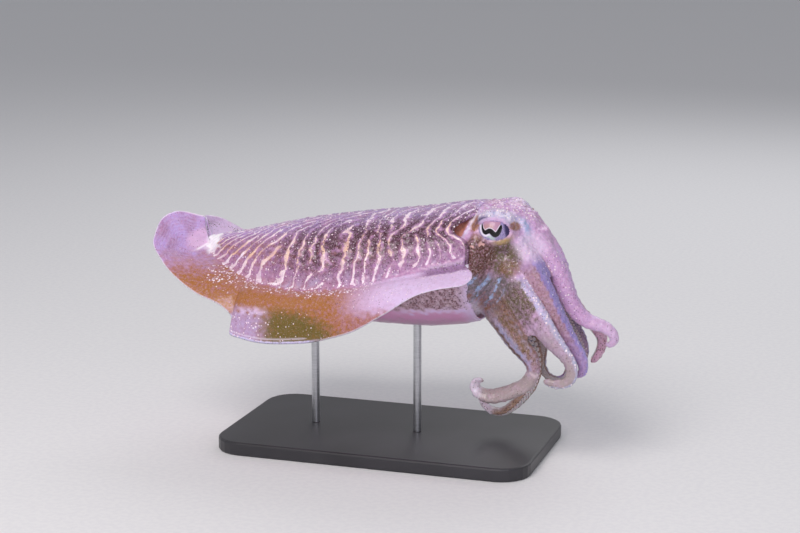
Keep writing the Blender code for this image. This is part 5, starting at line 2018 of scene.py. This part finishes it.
@dataclass(frozen=True)
class Studio:
    """A pale floor, soft lights and the camera at the photograph's angle."""

    eye: tuple[float, float, float] = (346.68, -1225.41, 265.71)
    azimuth: float = math.radians(18)
    elevation: float = math.radians(12)
    lens: float = 81.25

    def camera(self) -> None:
        """Places the camera: right, up and back are its axes."""
        data = bpy.data.cameras.new("camera")
        data.lens = self.lens
        data.sensor_width = 36.0
        right = Vector((math.cos(self.azimuth), math.sin(self.azimuth), 0.0))
        back = Vector(
            (
                math.sin(self.azimuth) * math.cos(self.elevation),
                -math.cos(self.azimuth) * math.cos(self.elevation),
                math.sin(self.elevation),
            )
        )
        camera = bpy.data.objects.new("camera", data)
        turn = Matrix((right, back.cross(right), back)).transposed().to_4x4()
        camera.matrix_world = Matrix.Translation(Vector(np.array(self.eye) + OVER_STAND) * MM) @ turn
        bpy.context.scene.collection.objects.link(camera)
        bpy.context.scene.camera = camera

    def light(
        self, name: str, at: tuple[float, float, float], size: float, power: float, tint: str
    ) -> None:
        """Adds a square area light that faces the animal.

        Args:
            name: its name.
            at: its place in metres.
            size: its side in metres.
            power: its power in watts.
            tint: its colour.
        """
        data = bpy.data.lights.new(name, "AREA")
        data.size = size
        data.energy = power
        data.color = linear(tint)[:3]
        lamp = bpy.data.objects.new(name, data)
        way = Vector((0.05, 0.0, 0.13)) - Vector(at)
        lamp.matrix_world = Matrix.Translation(at) @ way.to_track_quat("-Z", "Y").to_matrix().to_4x4()
        bpy.context.scene.collection.objects.link(lamp)

    def floor(self) -> None:
        """A wide, flat floor."""
        run = np.linspace(-6, 6, 49)
        across = np.linspace(-6, 6, 25)
        y, x = np.meshgrid(run, across, indexing="ij")
        points = np.stack([x, y, np.zeros_like(x)], axis=-1).reshape(-1, 3)
        row, column = np.meshgrid(np.arange(48), np.arange(24), indexing="ij")
        corner = row * 25 + column
        quads = np.stack([corner, corner + 1, corner + 26, corner + 25], axis=-1).reshape(-1, 4)
        mesh = bpy.data.meshes.new("floor")
        mesh.from_pydata(points.tolist(), [], quads.tolist())
        mesh.materials.append(FloorPaper().make())
        floor = bpy.data.objects.new("floor", mesh)
        bpy.context.scene.collection.objects.link(floor)

    def build(self) -> None:
        """Sets up the whole studio."""
        self.camera()
        self.floor()
        self.light("key", (-0.25, -1.2, 1.4), 0.9, 18.5, "fff8f4")
        self.light("fill", (0.7, -1.5, 0.35), 1.4, 7.5, "f4f2ff")
        self.light("rim", (0.2, 1.3, 1.3), 1.2, 8.0, "ffffff")
        world = bpy.data.worlds.new("studio")
        world.use_nodes = True
        world.node_tree.nodes["Background"].inputs["Color"].default_value = linear("dcdde2")
        world.node_tree.nodes["Background"].inputs["Strength"].default_value = 0.52
        bpy.context.scene.world = world
        bpy.context.scene.view_settings.view_transform = "Standard"


@dataclass(frozen=True)
class Stand:
    """The stand's own nodes, which keep their shapes."""

    base: str = "stand_base"
    rods: tuple[str, ...] = ("stand_rod_front", "stand_rod_rear")

    def dress(self, nodes: dict[str, bpy.types.Object]) -> None:
        """Gives the base its lacquer and the rods their steel.

        Args:
            nodes: the CAD nodes by name.
        """
        steel = BrushedSteel().make()
        for name, finish in ((self.base, SatinLacquer().make()), *((rod, steel) for rod in self.rods)):
            for place in nodes[name].material_slots:
                place.material = finish
            LOG.info("%s dressed", name)


RIGHT_FIN = Fin(
    Side.RIGHT,
    (
        (-0.045, 20, -60, 4, 0.5, 0.0), (-0.02, 22, -68, 2, 0.5, 0.0), (0.01, 18, -75, -1.5, 0.5, 0.0),
        (0.07, 4, -80, -4, 0.5, 0.05), (0.14, -13, -80.5, -9.5, 0.5, 0.1), (0.24, -37, -79, -25, 0.6, 0.2),
        (0.36, -66, -76, -42, 0.7, 0.25), (0.49, -102, -72.5, -52.5, 0.7, 0.25),
        (0.62, -133, -69.5, -55.5, 0.7, 0.2), (0.70, -150, -67.5, -53.8, 0.7, 0.15),
        (0.745, -159.2, -65.5, -51, 0.6, 0.1), (0.77, -159.0, -61.5, -41.5, 0.5, 0.05),
        (0.80, -169.5, -58.5, -32.5, 0.45, 0.0), (0.85, -188.5, -55, -26.5, 0.45, 0.0),
        (0.90, -208.5, -49, -16.5, 0.45, 0.0), (0.935, -225, -40, -4.5, 0.4, -0.05),
        (0.955, -234.5, -30, 7.5, 0.4, -0.1), (0.97, -233.5, -20, 19, 0.4, -0.1),
        (0.985, -223, -10.5, 25.5, 0.4, -0.05), (1.0, -205, -1.5, 21, 0.5, 0.0),
    ),
)
LEFT_FIN = Fin(
    Side.LEFT,
    (
        (-0.045, 20, 60, 4, 0.5, 0.0), (-0.02, 22, 68, 2, 0.5, 0.0), (0.01, 18, 76, -0.5, 0.5, 0.0),
        (0.07, 4, 82, -2, 0.5, 0.05), (0.14, -13, 85, -6, 0.5, 0.1), (0.24, -37, 87, -15, 0.6, 0.15),
        (0.36, -66, 88, -27, 0.6, 0.15), (0.49, -100, 86, -36, 0.6, 0.15),
        (0.62, -128, 80, -34, 0.6, 0.1), (0.70, -147, 73.5, -25, 0.6, 0.1),
        (0.745, -158, 69.5, -18, 0.6, 0.05), (0.77, -164, 67, -13.5, 0.5, 0.05),
        (0.80, -172, 64, -8.5, 0.5, 0.0), (0.85, -184.5, 59, -3.5, 0.45, 0.0),
        (0.90, -195, 51, 1.5, 0.45, 0.0), (0.935, -200.5, 41, 8, 0.4, -0.05),
        (0.955, -205, 32, 13.5, 0.4, -0.1), (0.97, -209, 22, 17, 0.4, -0.1),
        (0.985, -211, 12, 19, 0.4, -0.05), (1.0, -206, 3, 19.5, 0.5, 0.0),
    ),
)
ARMS = (
    Arm(Side.RIGHT, 1, (53, -9, 17.5), 98, (16.5, 15.7, 15, 14.3, 13.5, 12.3, 11, 8.8, 5.5), 0.98,
        (-46, -51, -59, -69, -61, -38, -13, -48, -210), (-2, -4, -4, -1, 0, 0, 0, 0, 0), (-70, -78, -85)),
    Arm(Side.RIGHT, 2, (46, -24, 12), 103, (16, 15.3, 13.4, 10, 4.5), 0.9,
        (-49, -55, -59, -63, -60, -59, -56, -83, -243), (-2, -8, -8, -2, 2, 4, 4, -1, 1), (-25, -25, -40)),
    Arm(Side.RIGHT, 3, (36, -29, -1), 110, (18, 18.6, 18.4, 17.3, 14.5, 10.5, 8, 6.5, 4.5), 0.62,
        (-51, -51, -53, -52, -50, -47, -82, -167, -199), (-13, -12, -9, -5, -1, 1, -1, 5, 10), (25, 20, 10),
        keel=0.3),
    Arm(Side.RIGHT, 4, (17.5, -15, -26.5), 127, (21, 21.5, 21.5, 18.5, 12.5, 12, 12.5, 10, 5.5), 0.55,
        (-42, -43, -46, -45, -104, -150, -162, -209, -406), (-16, -18, -14, -8, 2, 5, 5, 7, -1),
        (40, 45, 60)),
    Arm(Side.LEFT, 1, (53, 9, 16), 103, (16.5, 15.5, 14.5, 13.5, 12, 10.5, 9.5, 8.5, 6), 0.98,
        (-46, -62, -71, -70, -55, -41, -51, -107, -134), (2, 4, 4, 2, -1, 1, -3, -3, 0), (-70, -78, -85)),
    Arm(Side.LEFT, 2, (43, 23, 7), 96, (14.5, 14.2, 13.8, 13, 12, 10.8, 9.8, 8.5, 6), 0.85,
        (-59, -59, -62, -64, -62, -58, -61, -89, -139), (10, 7, 3, -2, -8, -10, -3, 1, -1),
        (-25, -25, -20)),
    Arm(Side.LEFT, 3, (34, 29.5, -7), 111, (16.5, 16.4, 14.5, 12, 9, 7, 6, 5.2, 4), 0.6,
        (-62, -70, -71, -79, -90, -94, -48, 20, 115), (9, 4, 0, -3, -6, -8, -10, -10, -8), (25, 15, 0),
        keel=0.3),
    Arm(Side.LEFT, 4, (19, 15, -28), 129, (19, 19, 18.5, 16.5, 13.5, 12.5, 12, 10.5, 7), 0.6,
        (-57, -58, -57, -70, -97, -124, -142, -211, -275), (8, 3, 0, -1, -3, -6, -8, -5, -5),
        (50, 65, 80)),
)
BODY_SKIN = LivingSkin(
    "mantle_living_skin",
    base="cb9ac2",
    shade="a877a6",
    washes=(
        Wash("lavender", "b99ad6", 1.2, 2.5),
        Wash("cream", "dec2d0", 0.4, 5.0),
        Wash("orange", "a5682e", 1.0, 2.2),
        Wash("pink", "dc9fc8", 0.8, 3.0),
        Wash("olive", "6b5a1e", 0.8, 2.0),
        Wash("brown", "47182f", 1.4, 1.6),
        Wash("mesh", "784a52", 1.6, 1.4),
        # The pocket wash is painted shade: the brown-orange of the shadowed gap round the neck
        Wash("pocket", "b67a66", 0.4, 3.0),
        Wash("blue", "d6ccf2", 1.4, 2.5),
        Wash("pale", "e2c9ee", 0.5, 3.0),
        Wash("rim", "ebe0f2", 0.2, 3.0, low=-0.8, high=-0.1),
    ),
    # This dot colour also colours the painted glints of highlight
    dot="fae6f3",
)
WEBS = tuple(
    Web(ARMS[first], ARMS[second], reach)
    for first, second, reach in (
        (4, 0, 0.30), (0, 1, 0.38), (1, 2, 0.42), (2, 3, 0.50),
        (3, 7, 0.26), (7, 6, 0.42), (6, 5, 0.40), (5, 4, 0.38),
    )
)
HEAD_SKIN = LivingSkin(
    "head_living_skin",
    base="e0b9e0",
    shade="c99ccb",
    washes=(
        Wash("lavender", "a590d4", 1.0, 3.0),
        Wash("pink", "c892ae", 0.8, 4.0),
        Wash("grey", "a8989a", 0.6, 4.0),
        Wash("olive", "675c42", 1.2, 2.5),
        Wash("orange", "a26f45", 1.4, 2.2),
        Wash("brown", "502412", 1.6, 1.6),
        # The pocket wash is painted shade: the brown-orange of the shadowed gap round the neck
        Wash("pocket", "bb7f6e", 0.4, 3.0),
        Wash("yellow", "b89a62", 0.6, 2.5),
        Wash("cream", "cdb8c2", 0.4, 6.0),
        Wash("blue", "9db0d8", 1.2, 2.0),
        Wash("pale", "e4d8ee", 0.8, 2.2),
        Wash("dark", "4a3c6a", 0.6, 2.0),
    ),
    speck="4a292b",
    warm_stripe="dba9a4",
    # This dot colour also colours the painted glints of highlight
    dot="fae9f0",
)


def main() -> None:
    """Builds the animal over its stand, piece by piece, and the studio round it."""
    logging.basicConfig(level=logging.INFO, format="%(message)s")
    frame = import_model()
    seats = (EyeSeat(Side.RIGHT), EyeSeat(Side.LEFT))
    head_finish = HEAD_SKIN.make()
    Studio().build()
    Stand().dress(frame["nodes"])
    Mantle(RIGHT_FIN, LEFT_FIN).build(BODY_SKIN.make())
    Head(ARMS, WEBS, seats).build(head_finish)
    eye_finish = WetEye().make()
    for seat in seats:
        EyeBall(seat).build(eye_finish)
    Suckers(ARMS).build(SuckerSkin().make())
    Funnel().build(head_finish)
    Beak().build(Horn().make())


if __name__ == "__main__":
    main()
